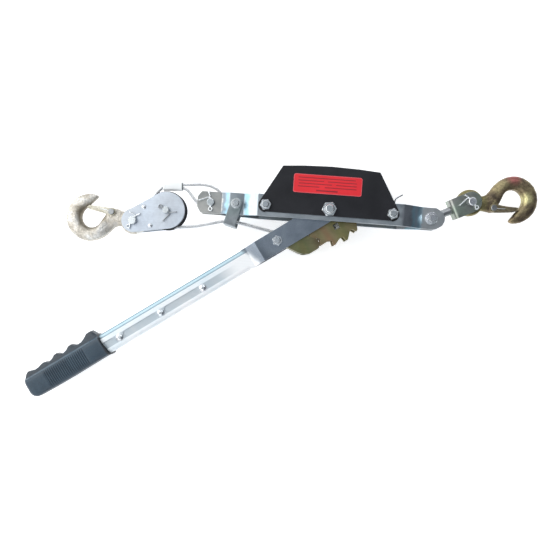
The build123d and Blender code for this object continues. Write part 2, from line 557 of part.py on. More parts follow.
# ----------------------------------------------------------------------- hooks
def hook():
    """Eye at the origin, load line along +X, mouth on the -Y side."""
    bc, br = (66.0, -1.0), 35.5
    ic, ir = (63.5, -1.5), 15.5

    def on(c, r, a):
        return (c[0] + r * math.cos(math.radians(a)), c[1] + r * math.sin(math.radians(a)), 0)

    s1, s2, s3 = on(bc, br, -98), on(bc, br, 10), on(bc, br, 130)
    i1, i2, i3 = on(ic, ir, 145), on(ic, ir, 40), on(ic, ir, -48)
    body = make_face(
        ThreePointArc(s1, s2, s3) + Line(s3, (25.0, 8.0, 0)) + Line((25.0, 8.0, 0), (10.0, 6.0, 0)) + Line((10.0, 6.0, 0), (12.0, -12.0, 0))
        + Line((12.0, -12.0, 0), (31.0, -17.2, 0)) + Line((31.0, -17.2, 0), (39.0, -13.5, 0)) + Line((39.0, -13.5, 0), i1)
        + ThreePointArc(i1, i2, i3) + Line(i3, (55.5, -31.0, 0)) + Line((55.5, -31.0, 0), (55.8, -35.0, 0)) + Line((55.8, -35.0, 0), s1))
    s = extrude(body, HOOK_T, both=True)
    try:
        ed = [e for e in s.edges() if abs(abs(e.center().Z) - HOOK_T) < 0.01 and (abs(e.center().X - bc[0]) > 0)]
        s = chamfer(ed, 3.2)
    except Exception as err:
        print("hook edges left square:", err)
    ring_cut = cyl(0, 0, HOOK_EYE_T, 30, HOOK_EYE_R + 4.5)
    s -= ring_cut
    s -= mirror(ring_cut, about=Plane.XY)
    eye = cyl(0, 0, -HOOK_EYE_T, HOOK_EYE_T, HOOK_EYE_R)
    ee = [e for e in eye.edges() if e.geom_type == GeomType.CIRCLE]
    eye = chamfer(ee, 2.2)
    s = s + eye
    lug = cyl(33, -11, LUG_T, 30, 17.0)
    s -= lug
    s -= mirror(lug, about=Plane.XY)
    s -= cyl(0, 0, -30, 30, PIN_D / 2 + RUN)
    s -= cyl(33, -11, -30, 30, 2.5 + RUN)
    return s


def latch():
    """Pressed channel: two ears beside the hook's neck, closed over at the free end."""
    pts = [(31.5, -5.2), (36, -5.4), (52, -10.2), (69.2, -13.4), (69.6, -15.4), (66.2, -18.7), (48, -17.6), (36, -16.6), (31.5, -16.8)]
    s = prism(pts, -8.0, 8.0) + cyl(33, -11, -8.0, 8.0, 6.0)
    s -= hull2((33, -11), 9.6, (43, -12.6), 9.6, -LUG_T - 0.25, LUG_T + 0.25)
    s -= prism([(40, -8), (60, -13.2), (65.5, -14.9), (66, -25), (40, -25)], -LUG_T - 0.25, LUG_T + 0.25)
    return s - cyl(33, -11, -30, 30, 2.5 + RUN)


hk, lt = hook(), latch()
lrv = cyl(33, -11, -9.8, 9.8, 2.5) + cyl(33, -11, 9.8, 10.8, 4.2) + cyl(33, -11, -10.8, -9.8, 4.2)
lsp = ring(33, -11, 8.15, 9.7, 4.4, 2.9) + wire([(36.2, -12.4, 8.9), (50.0, -13.8, 8.9)], 0.6)
rx, ry = END_X + SWIVEL_L * math.cos(math.radians(SWIVEL_A)), SWIVEL_L * math.sin(math.radians(SWIVEL_A))
# the pulley block's hook is the same part, turned over end for end
LH = at(LEFT_HOOK_A, HX, HY)
RH = at(RIGHT_HOOK_A, rx, ry)
for name, loc in (("left", LH), ("right", RH)):
    save(f"{name}_hook", loc * hk)
    save(f"{name}_latch", loc * lt)
    save(f"{name}_latch_rivet", loc * lrv)
    save(f"{name}_latch_spring", loc * lsp)

# -------------------------------------------------------- fixed hook's swivel
SW = at(SWIVEL_A, END_X, 0)
eye = cyl(0, 0, -6.0, 6.0, 13.5)
eye = chamfer([e for e in eye.edges() if e.geom_type == GeomType.CIRCLE], 1.6)
stud = rod((6, 0, 0), (CLEVIS_0 - 1.3, 0, 0), 6.0) + rod((20, 0, 0), (43.4, 0, 0), 5.0)
swl = (eye + stud) - cyl(0, 0, -30, 30, 5.0 + RUN)
save("swivel_eye_bolt", SW * swl)
c1 = CLEVIS_0 + (CLEVIS_OUT - CLEVIS_IN)
up = [(CLEVIS_0, -CLEVIS_OUT), (CLEVIS_0, CLEVIS_OUT), (90, CLEVIS_OUT), (90, CLEVIS_IN), (c1, CLEVIS_IN), (c1, -CLEVIS_IN),
      (90, -CLEVIS_IN), (90, -CLEVIS_OUT)]
uf = make_face(Polyline(*[(p[0], 0, p[1]) for p in up], close=True))
for p, r in (((CLEVIS_0, -CLEVIS_OUT), 5.5), ((CLEVIS_0, CLEVIS_OUT), 5.5), ((c1, CLEVIS_IN), 0.6), ((c1, -CLEVIS_IN), 0.6)):
    v = [q for q in uf.vertices() if abs(q.X - p[0]) < 1e-3 and abs(q.Z - p[1]) < 1e-3]
    uf = fillet(v, r)
    uf = uf.faces()[0] if not isinstance(uf, Face) else uf
clv = extrude(uf, CLEVIS_W, dir=(0, 1, 0)).moved(Location((0, -CLEVIS_W / 2, 0)))
clv = clv & (block(0, SWIVEL_L, -CLEVIS_W / 2, CLEVIS_W / 2, -30, 30) + cyl(SWIVEL_L, 0, -30, 30, CLEVIS_W / 2))
clv -= cyl(SWIVEL_L, 0, -30, 30, PIN_D / 2 + 0.05)
clv -= rod((20, 0, 0), (c1 + 4, 0, 0), 5.0 + RUN)
save("swivel_clevis", SW * clv)
sn_ = extrude(Plane(origin=(c1 + 0.3, 0, 0), x_dir=(0, 1, 0), z_dir=(1, 0, 0)) * RegularPolygon(13.4 / math.sqrt(3), 6), 4.4)
sn_ -= rod((20, 0, 0), (55, 0, 0), 5.05)
save("swivel_nut", SW * sn_)
rz = CLEVIS_OUT + 2.2
save("right_hook_pin", clevis_pin(rx, ry, CLEVIS_OUT, PIN_D / 2, 132.0, rz, rz + 3.0, 9.0))
save("right_hook_cotter", cotter(rx, ry, rz, 132.0, PIN_D / 2, (-12.0, 9.0), (-18.5, -7.0)))

# ----------------------------------------------------------------------- cable
drum_run = [(0, -COIL_R - ROPE_R - 0.15, 0), (-32, -39.3, 0), (-62, -38.7, 0), (-100, -32.0, 0), (-134, -25.3, 0), (-146, -25.3, 0)]
rad = arc_radii(drum_run)
print("cable, drum to guide radii", [round(v) for v in rad])
drum_run = tube(drum_run, rad)
lower = [(-146, -25.3, 0), (-154, -25.3, 0), (-175, -31.0, 0), (-197, -36.6, 0), (-220, -39.7, 0), (SX, SY - GROOVE_R, 0)]
rad = arc_radii(lower)
print("cable, guide to sheave radii", [round(v) for v in rad])
save("cable_lower_run", tube(lower, rad))
b0, b1_, b2_ = [(SX + GROOVE_R * math.cos(math.radians(a)), SY + GROOVE_R * math.sin(math.radians(a)), 0) for a in (270, 222.5, 175)]
wrap = sweep(Plane(origin=b0, z_dir=(-1, 0, 0)) * Circle(ROPE_R), path=ThreePointArc(b0, b1_, b2_))
save("cable_bight", wrap)
FX, FY, FA, FL = -232.8, 20.8, 4.0, 29.6     # ferrule centre, direction and length
fd = polar(1.0, FA)
fl = (FX - fd[0] * FL / 2, FY - fd[1] * FL / 2)
fr = (FX + fd[0] * FL / 2, FY + fd[1] * FL / 2)
tdir = (math.sin(math.radians(175)), -math.cos(math.radians(175)))
u1 = (b2_[0] + tdir[0] * 9, b2_[1] + tdir[1] * 9, 0)
upper = [b2_, u1, (-259.4, 4.4, 0), (-253.0, 14.2, 0), (fl[0] + 1.2, fl[1] + 0.3, 0)]
rad = arc_radii(upper)
print("cable, sheave to ferrule radii", [round(v) for v in rad])
fer = Plane(origin=(fl[0], fl[1], 0), x_dir=(-fd[1], fd[0], 0), z_dir=(fd[0], fd[1], 0)) * RectangleRounded(11.8, 7.6, 3.6)
ferrule = extrude(fer, FL)
save("cable_ferrule", ferrule)
save("cable_upper_run", tube(upper, rad) - ferrule)
nrm = (-fd[1], fd[0])
ea = (fr[0] + nrm[0] * 2.6, fr[1] + nrm[1] * 2.6, 0)
eb = (fr[0] - nrm[0] * 2.6, fr[1] - nrm[1] * 2.6, 0)
loop = [ea, (ea[0] + 8 * fd[0], ea[1] + 8 * fd[1], 0), (-201.0, 26.3, 0), (-189, 27.4, 0), (-174, 26.0, 0), (-161.5, 18.6, 0), (-155.0, 5.5, 0), (-158.4, -7.0, 0),
        (-169.5, -13.2, 0), (-182, -11.2, 0), (-193, -3.4, 0), (-203.0, 8.4, 0), (eb[0] + 5 * fd[0], eb[1] + 5 * fd[1] - 0.0, 0), eb]
rad = arc_radii(loop)
print("cable eye radii", [round(v) for v in rad])
save("cable_fixed_runs", drum_run, tube(loop, rad))
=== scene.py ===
import math
import bpy
import bmesh
from mathutils import Vector, Matrix, noise


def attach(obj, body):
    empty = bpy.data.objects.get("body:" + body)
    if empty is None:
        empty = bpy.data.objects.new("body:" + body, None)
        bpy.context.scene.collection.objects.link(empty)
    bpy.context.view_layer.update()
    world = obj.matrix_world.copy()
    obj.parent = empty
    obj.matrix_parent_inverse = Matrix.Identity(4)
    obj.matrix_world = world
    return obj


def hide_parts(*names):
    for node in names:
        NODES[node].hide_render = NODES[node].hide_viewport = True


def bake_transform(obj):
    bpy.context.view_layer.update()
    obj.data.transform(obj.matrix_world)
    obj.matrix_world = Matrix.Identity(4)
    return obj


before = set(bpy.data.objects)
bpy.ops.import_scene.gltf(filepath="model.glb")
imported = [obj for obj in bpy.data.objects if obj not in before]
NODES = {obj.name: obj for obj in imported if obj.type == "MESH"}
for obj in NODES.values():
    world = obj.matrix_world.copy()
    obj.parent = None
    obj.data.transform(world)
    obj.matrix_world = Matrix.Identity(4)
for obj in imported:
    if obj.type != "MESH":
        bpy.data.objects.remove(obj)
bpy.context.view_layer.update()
SC = bpy.context.scene
LIFT = 34.0


def P(x, y, z=0.0):
    """Millimetres about the tool's middle plane to metres in the shared frame."""
    return Vector((x / 1000.0, y / 1000.0, (z + LIFT) / 1000.0))


# ------------------------------------------------------------------- materials
def new_mat(name):
    m = bpy.data.materials.new(name)
    m.use_nodes = True
    nt = m.node_tree
    b = next(n for n in nt.nodes if n.type == "BSDF_PRINCIPLED")
    return m, nt, b


def N(nt, kind, **kw):
    n = nt.nodes.new(kind)
    for k, v in kw.items():
        setattr(n, k, v)
    return n


def sset(n, name, v):
    n.inputs[name].default_value = v


def coords(nt, scale=(1, 1, 1), rot=(0, 0, 0)):
    tc = N(nt, "ShaderNodeTexCoord")
    mp = N(nt, "ShaderNodeMapping")
    nt.links.new(tc.outputs["Object"], mp.inputs["Vector"])
    mp.inputs["Scale"].default_value = scale
    mp.inputs["Rotation"].default_value = rot
    return mp.outputs["Vector"]


def noise_tex(nt, vec, scale, detail=3.0, rough=0.55, dist=0.0):
    t = N(nt, "ShaderNodeTexNoise")
    nt.links.new(vec, t.inputs["Vector"])
    sset(t, "Scale", scale)
    sset(t, "Detail", detail)
    sset(t, "Roughness", rough)
    sset(t, "Distortion", dist)
    return t


def ramp(nt, fac, stops, mode="LINEAR"):
    r = N(nt, "ShaderNodeValToRGB")
    r.color_ramp.interpolation = mode
    el = r.color_ramp.elements
    while len(el) > 2:
        el.remove(el[-1])
    for i, (p, c) in enumerate(stops):
        e = el[i] if i < 2 else el.new(p)
        e.position = p
        e.color = (c[0], c[1], c[2], 1.0) if not isinstance(c, (int, float)) else (c, c, c, 1.0)
    nt.links.new(fac, r.inputs["Fac"])
    return r.outputs["Color"]


def mix(nt, fac, a, b, mode="MIX"):
    m = N(nt, "ShaderNodeMix", data_type="RGBA", blend_type=mode)
    if isinstance(fac, (int, float)):
        m.inputs[0].default_value = fac
    else:
        nt.links.new(fac, m.inputs[0])
    for i, v in ((6, a), (7, b)):
        if isinstance(v, tuple):
            m.inputs[i].default_value = (*v, 1.0) if len(v) == 3 else v
        else:
            nt.links.new(v, m.inputs[i])
    return m.outputs[2]


def math_n(nt, op, a, b=0.0, clamp=False):
    m = N(nt, "ShaderNodeMath", operation=op, use_clamp=clamp)
    for i, v in enumerate((a, b)):
        if isinstance(v, (int, float)):
            m.inputs[i].default_value = v
        else:
            nt.links.new(v, m.inputs[i])
    return m.outputs[0]


def bump(nt, bsdf, height, strength, dist, prev=None):
    b = N(nt, "ShaderNodeBump")
    sset(b, "Strength", strength)
    sset(b, "Distance", dist)
    nt.links.new(height, b.inputs["Height"])
    if prev is not None:
        nt.links.new(prev, b.inputs["Normal"])
    nt.links.new(b.outputs["Normal"], bsdf.inputs["Normal"])
    return b.outputs["Normal"]


def edge_mask(nt, radius, lo=0.02, hi=0.25):
    """1 near sharp edges, 0 on flats."""
    bv = N(nt, "ShaderNodeBevel", samples=6)
    sset(bv, "Radius", radius)
    g = N(nt, "ShaderNodeNewGeometry")
    d = N(nt, "ShaderNodeVectorMath", operation="DOT_PRODUCT")
    nt.links.new(bv.outputs["Normal"], d.inputs[0])
    nt.links.new(g.outputs["Normal"], d.inputs[1])
    inv = math_n(nt, "SUBTRACT", 1.0, d.outputs["Value"])
    mr = N(nt, "ShaderNodeMapRange")
    sset(mr, "From Min", lo)
    sset(mr, "From Max", hi)
    nt.links.new(inv, mr.inputs["Value"])
    return mr.outputs["Result"]


def zinc(name, base, rough=0.34, tint=0.5, metal=1.0, streak_rot=0.0, spangle=True, dark=0.72, tints=None, edge=0.5, bump_s=0.25, shade_rings=()):
    """Bright zinc plate: cloudy patches, faint iridescence, rolling streaks, edges painted lighter as a painted
    highlight, and optional dark circles painted round fastener heads as painted shade.
    """
    m, nt, b = new_mat(name)
    v = coords(nt)
    cloud = noise_tex(nt, v, 28.0, 4.0, 0.6, 0.6)
    c1 = ramp(nt, cloud.outputs["Fac"], [(0.32, tuple(k * dark for k in base)), (0.68, base)])
    tn = noise_tex(nt, v, 11.0, 2.0, 0.5, 1.2)
    tints = tints or [(0.30, (0.62, 0.80, 0.90)), (0.46, (0.95, 0.95, 0.95)), (0.58, (0.80, 0.93, 0.86)), (0.74, (0.95, 0.88, 0.95))]
    c2 = ramp(nt, tn.outputs["Fac"], tints)
    col = mix(nt, tint, c1, c2, "MULTIPLY")
    if spangle:
        vo = N(nt, "ShaderNodeTexVoronoi")
        nt.links.new(v, vo.inputs["Vector"])
        sset(vo, "Scale", 260.0)
        sp = ramp(nt, vo.outputs["Color"], [(0.0, 0.80), (1.0, 1.0)])
        col = mix(nt, 0.55, col, sp, "MULTIPLY")
    st = noise_tex(nt, coords(nt, (20, 900, 900), (0, 0, math.radians(streak_rot))), 1.0, 4.0, 0.65)
    col = mix(nt, 0.35, col, ramp(nt, st.outputs["Fac"], [(0.3, 0.72), (0.7, 1.0)]), "MULTIPLY")
    # painted highlight: the sharp edges are painted lighter, by the edge strength
    if edge:
        em = edge_mask(nt, 0.0009)
        edge_highlight_col = tuple(min(1.0, k * 1.25 + 0.12) for k in base)
        col = mix(nt, math_n(nt, "MULTIPLY", em, edge), col, edge_highlight_col)
    # painted shade: a dark circle painted just outside each listed head, where shade falls in the gap round it
    for cx, cy, r in shade_rings:
        gap_shade = math_n(nt, "SUBTRACT", near(nt, cx, cy, r + 0.0006, r + 0.0010), near(nt, cx, cy, r - 0.0003, r + 0.0001))
        col = mix(nt, math_n(nt, "MULTIPLY", gap_shade, 0.8), col, (0.10, 0.11, 0.12))
    nt.links.new(col, b.inputs["Base Color"])
    sset(b, "Metallic", metal)
    rr = ramp(nt, noise_tex(nt, v, 60.0, 3.0).outputs["Fac"], [(0.3, rough * 0.8), (0.7, rough * 1.25)])
    nt.links.new(rr, b.inputs["Roughness"])
    n1 = bump(nt, b, st.outputs["Fac"], bump_s * 0.6, 0.0001)
    bump(nt, b, noise_tex(nt, v, 700.0, 3.0).outputs["Fac"], bump_s, 0.0002, n1)
    return m


def map_range(nt, val, a, b, smooth=True):
    m = N(nt, "ShaderNodeMapRange", interpolation_type="SMOOTHSTEP" if smooth else "LINEAR")
    nt.links.new(val, m.inputs["Value"])
    sset(m, "From Min", a)
    sset(m, "From Max", b)
    return m.outputs["Result"]


def plate_zinc(name):
    """Side plates: grey zinc, coloured in bands along x: painted reflections (cool cyan and pale bands) and painted
    shade (dark bands) where the sheet is bent, warm grey at the ends, and edges painted lighter as a painted highlight.
    """
    m, nt, b = new_mat(name)
    v = coords(nt)
    warp = noise_tex(nt, v, 90.0, 3.0, 0.6)
    sx = N(nt, "ShaderNodeSeparateXYZ")
    nt.links.new(v, sx.inputs[0])
    xx = math_n(nt, "ADD", sx.outputs["X"], math_n(nt, "MULTIPLY", math_n(nt, "SUBTRACT", warp.outputs["Fac"], 0.5), 0.012))
    mr = N(nt, "ShaderNodeMapRange")
    nt.links.new(xx, mr.inputs["Value"])
    sset(mr, "From Min", -0.200)
    sset(mr, "From Max", 0.200)
    # bands along x: the cyan and pale stops are painted reflections and the dark stops painted shade, at the bends of
    # the sheet
    gw, dk_shade, cy, wh, g2 = (0.50, 0.50, 0.48), (0.20, 0.24, 0.28), (0.29, 0.45, 0.54), (0.50, 0.56, 0.60), (0.50, 0.54, 0.57)
    st = [(-200, gw), (-158, gw), (-156, dk_shade), (-152.5, dk_shade), (-150.5, cy), (-146.5, cy), (-145, g2), (-124, (0.40, 0.44, 0.48)), (-122, cy),
          (-117, (0.34, 0.52, 0.62)), (-115.5, wh), (-106, wh), (-103, g2), (104, g2), (109, (0.30, 0.32, 0.35)), (121, (0.30, 0.33, 0.37)), (124, cy),
          (130, (0.36, 0.45, 0.52)), (134, cy), (138.5, (0.62, 0.78, 0.85)), (141, (0.56, 0.58, 0.59)), (200, (0.56, 0.58, 0.59))]
    c = ramp(nt, mr.outputs["Result"], [((x + 200) / 400, k) for x, k in st])
    cloud = noise_tex(nt, v, 30.0, 4.0, 0.6, 0.6)
    c = mix(nt, 0.8, c, ramp(nt, cloud.outputs["Fac"], [(0.32, (0.74, 0.78, 0.80)), (0.66, (1.0, 1.0, 1.0))]), "MULTIPLY")
    vo = N(nt, "ShaderNodeTexVoronoi")
    nt.links.new(v, vo.inputs["Vector"])
    sset(vo, "Scale", 260.0)
    c = mix(nt, 0.5, c, ramp(nt, vo.outputs["Color"], [(0.0, 0.82), (1.0, 1.0)]), "MULTIPLY")
    # painted highlight: edges painted lighter
    em = edge_mask(nt, 0.0009)
    c = mix(nt, math_n(nt, "MULTIPLY", em, 0.5), c, (0.80, 0.84, 0.88))
    nt.links.new(c, b.inputs["Base Color"])
    sset(b, "Metallic", 1.0)
    nt.links.new(ramp(nt, noise_tex(nt, v, 60.0, 3.0).outputs["Fac"], [(0.3, 0.28), (0.7, 0.42)]), b.inputs["Roughness"])
    stn = noise_tex(nt, coords(nt, (20, 900, 900)), 1.0, 4.0, 0.65)
    n1 = bump(nt, b, stn.outputs["Fac"], 0.14, 0.0001)
    bump(nt, b, noise_tex(nt, v, 700.0, 3.0).outputs["Fac"], 0.22, 0.0002, n1)
    return m


def handle_zinc(name):
    """The lever: dull blue-grey fork arms, painted dark as painted shade where they close up, and a pale brushed
    channel, its whiteness partly a painted reflection, with a cooler band that is a painted reflection with a brighter
    crown as a painted highlight, dark lines of painted shade at both edges of the band (one along the seam), and
    shallow grooves along it painted grey as painted shade."""
    m, nt, b = new_mat(name)
    v = coords(nt)
    al = coords(nt, (1, 1, 1), (0, 0, math.radians(-215.0)))
    sx = N(nt, "ShaderNodeSeparateXYZ")
    nt.links.new(al, sx.inputs[0])
    wob = math_n(nt, "MULTIPLY", math_n(nt, "SUBTRACT", noise_tex(nt, v, 60.0, 3.0).outputs["Fac"], 0.5), 0.012)
    along = math_n(nt, "ADD", math_n(nt, "ADD", sx.outputs["X"], wob), math_n(nt, "MULTIPLY", sx.outputs["Y"], 0.45))
    chan = map_range(nt, along, 0.124, 0.139)
    # painted shade: the joggle where the arms close up is painted dark
    dip_shade = math_n(nt, "MULTIPLY", map_range(nt, along, 0.100, 0.120), map_range(nt, along, 0.137, 0.127))
    cloud = noise_tex(nt, v, 26.0, 4.0, 0.6, 0.7)
    arms = ramp(nt, cloud.outputs["Fac"], [(0.30, (0.30, 0.35, 0.41)), (0.52, (0.38, 0.43, 0.50)), (0.72, (0.46, 0.52, 0.57))])
    across = N(nt, "ShaderNodeMapRange")
    nt.links.new(sx.outputs["Y"], across.inputs["Value"])
    sset(across, "From Min", -0.020)
    sset(across, "From Max", 0.020)
    # bands across the channel: the cool band is a painted reflection with a brighter crown as a painted highlight, the
    # dark stops are painted shade lines at its edges, and the grey stops are painted shade in the grooves
    wh, cy, gr = (0.97, 0.98, 0.99), (0.42, 0.57, 0.64), (0.57, 0.61, 0.64)
    bands = ramp(nt, across.outputs["Result"], [(0.0, cy), (0.118, cy), (0.124, (0.14, 0.20, 0.25)), (0.136, (0.14, 0.20, 0.25)), (0.146, cy), (0.200, (0.66, 0.80, 0.86)), (0.255, cy), (0.262, (0.25, 0.30, 0.34)), (0.272, (0.25, 0.30, 0.34)), (0.282, wh), (0.42, wh), (0.45, gr), (0.69, gr), (0.72, wh), (1.0, wh)])
    blot = ramp(nt, noise_tex(nt, v, 18.0, 3.0, 0.55, 1.0).outputs["Fac"], [(0.30, (0.82, 0.90, 0.94)), (0.60, (1.0, 1.0, 1.0))])
    bands = mix(nt, 1.0, bands, blot, "MULTIPLY")
    # where this mask is 0 the channel is painted plain white, partly a painted reflection
    far = map_range(nt, sx.outputs["X"], 0.150, 0.200)
    far = math_n(nt, "MAXIMUM", far, map_range(nt, sx.outputs["Y"], -0.0080, -0.0090))
    bands = mix(nt, far, (0.97, 0.98, 0.99), bands)
    c = mix(nt, chan, arms, bands)
    c = mix(nt, math_n(nt, "MULTIPLY", dip_shade, 0.75), c, (0.20, 0.23, 0.27))
    st = noise_tex(nt, coords(nt, (14, 1100, 1100), (0, 0, math.radians(-215.0))), 1.0, 4.0, 0.65)
    c = mix(nt, 0.30, c, ramp(nt, st.outputs["Fac"], [(0.3, 0.75), (0.7, 1.0)]), "MULTIPLY")
    # painted highlight: edges painted lighter
    em = edge_mask(nt, 0.0009)
    c = mix(nt, math_n(nt, "MULTIPLY", em, 0.6), c, (0.88, 0.92, 0.95))
    nt.links.new(c, b.inputs["Base Color"])
    nt.links.new(ramp(nt, chan, [(0.0, 1.0), (1.0, 0.25)]), b.inputs["Metallic"])
    nt.links.new(ramp(nt, chan, [(0.0, 0.27), (1.0, 0.46)]), b.inputs["Roughness"])
    n1 = bump(nt, b, st.outputs["Fac"], 0.10, 0.0001)
    bump(nt, b, noise_tex(nt, v, 700.0, 3.0).outputs["Fac"], 0.18, 0.0002, n1)
    return m


def near(nt, cx, cy, r0, r1):
    """1 at distance r0 from a point of the plan (metres), 0 at r1."""
    tc = N(nt, "ShaderNodeTexCoord")
    d = N(nt, "ShaderNodeVectorMath", operation="SUBTRACT")
    nt.links.new(tc.outputs["Object"], d.inputs[0])
    d.inputs[1].default_value = (cx, cy, 0)
    m = N(nt, "ShaderNodeVectorMath", operation="MULTIPLY")
    nt.links.new(d.outputs["Vector"], m.inputs[0])
    m.inputs[1].default_value = (1, 1, 0)
    ln = N(nt, "ShaderNodeVectorMath", operation="LENGTH")
    nt.links.new(m.outputs["Vector"], ln.inputs[0])
    return map_range(nt, ln.outputs["Value"], r1, r0)


def forged(name, base, hi, lo, red, rough=0.42, pit=1.0, metal=0.85, spots=()):
    """Drop forged, plated hook: brown and gold patches, pits and scale marks."""
    m, nt, b = new_mat(name)
    v = coords(nt)
    big = noise_tex(nt, v, 42.0, 4.0, 0.62, 0.8)
    c = ramp(nt, big.outputs["Fac"], [(0.28, lo), (0.48, base), (0.66, hi), (0.80, red)])
    fine = noise_tex(nt, v, 420.0, 5.0, 0.7)
    c = mix(nt, 0.65, c, ramp(nt, fine.outputs["Fac"], [(0.34, 0.42), (0.56, 1.0)]), "MULTIPLY")
    # spots colour the hook by distance from a point; the callers use them for stains and also for painted highlights
    # and painted shade
    for cx, cy, r0, r1, sc, amt in spots:
        f = math_n(nt, "MULTIPLY", near(nt, cx, cy, r0, r1), amt)
        c = mix(nt, math_n(nt, "MULTIPLY", f, ramp(nt, fine.outputs["Fac"], [(0.36, 0.55), (0.55, 1.0)])), c, sc)
    em = edge_mask(nt, 0.0012, 0.01, 0.2)
    c = mix(nt, math_n(nt, "MULTIPLY", em, 0.5), c, tuple(min(1, k * 1.3) for k in hi))
    nt.links.new(c, b.inputs["Base Color"])
    sset(b, "Metallic", metal)
    nt.links.new(ramp(nt, fine.outputs["Fac"], [(0.3, min(1, rough * 1.5)), (0.7, rough * 0.8)]), b.inputs["Roughness"])
    vo = N(nt, "ShaderNodeTexVoronoi", feature="SMOOTH_F1")
    nt.links.new(v, vo.inputs["Vector"])
    sset(vo, "Scale", 300.0)
    n1 = bump(nt, b, vo.outputs["Distance"], 0.35 * pit, 0.0009)
    n2 = bump(nt, b, fine.outputs["Fac"], 0.5 * pit, 0.0008, n1)
    bump(nt, b, noise_tex(nt, v, 95.0, 3.0).outputs["Fac"], 0.4 * pit, 0.002, n2)
    return m


def paint_black(name):
    m, nt, b = new_mat(name)
    v = coords(nt)
    cl = noise_tex(nt, v, 22.0, 4.0, 0.6, 0.4)
    c = ramp(nt, cl.outputs["Fac"], [(0.35, (0.0095, 0.0095, 0.0120)), (0.7, (0.0150, 0.0155, 0.0195))])
    dust = noise_tex(nt, v, 900.0, 2.0, 0.7)
    c = mix(nt, ramp(nt, dust.outputs["Fac"], [(0.66, 0.0), (0.80, 0.35)]), c, (0.10, 0.10, 0.11))
    em = edge_mask(nt, 0.0007, 0.03, 0.3)
    chip = noise_tex(nt, v, 240.0, 4.0, 0.7)
    wear = math_n(nt, "MULTIPLY", em, ramp(nt, chip.outputs["Fac"], [(0.52, 0.0), (0.62, 1.0)]))
    c = mix(nt, math_n(nt, "MULTIPLY", wear, 0.55), c, (0.33, 0.33, 0.34))
    nt.links.new(c, b.inputs["Base Color"])
    nt.links.new(ramp(nt, cl.outputs["Fac"], [(0.3, 0.36), (0.7, 0.46)]), b.inputs["Roughness"])
    sset(b, "Specular IOR Level", 0.36)
    peel = noise_tex(nt, v, 520.0, 2.0, 0.5)
    n1 = bump(nt, b, peel.outputs["Fac"], 0.16, 0.0004)
    bump(nt, b, noise_tex(nt, v, 30.0, 2.0).outputs["Fac"], 0.12, 0.002, n1)
    return m


def plastic_label(name, base, dark, rough):
    m, nt, b = new_mat(name)
    v = coords(nt)
    c = ramp(nt, noise_tex(nt, v, 35.0, 3.0).outputs["Fac"], [(0.3, dark), (0.7, base)])
    sc = noise_tex(nt, coords(nt, (30, 1300, 1300), (0, 0, 0.5)), 1.0, 2.0, 0.6)
    c = mix(nt, ramp(nt, sc.outputs["Fac"], [(0.70, 0.0), (0.78, 0.25)]), c, (0.9, 0.5, 0.5))
    nt.links.new(c, b.inputs["Base Color"])
    nt.links.new(ramp(nt, noise_tex(nt, v, 90.0).outputs["Fac"], [(0.3, rough), (0.7, rough * 1.3)]), b.inputs["Roughness"])
    bump(nt, b, noise_tex(nt, v, 260.0, 2.0).outputs["Fac"], 0.08, 0.0003)
    return m


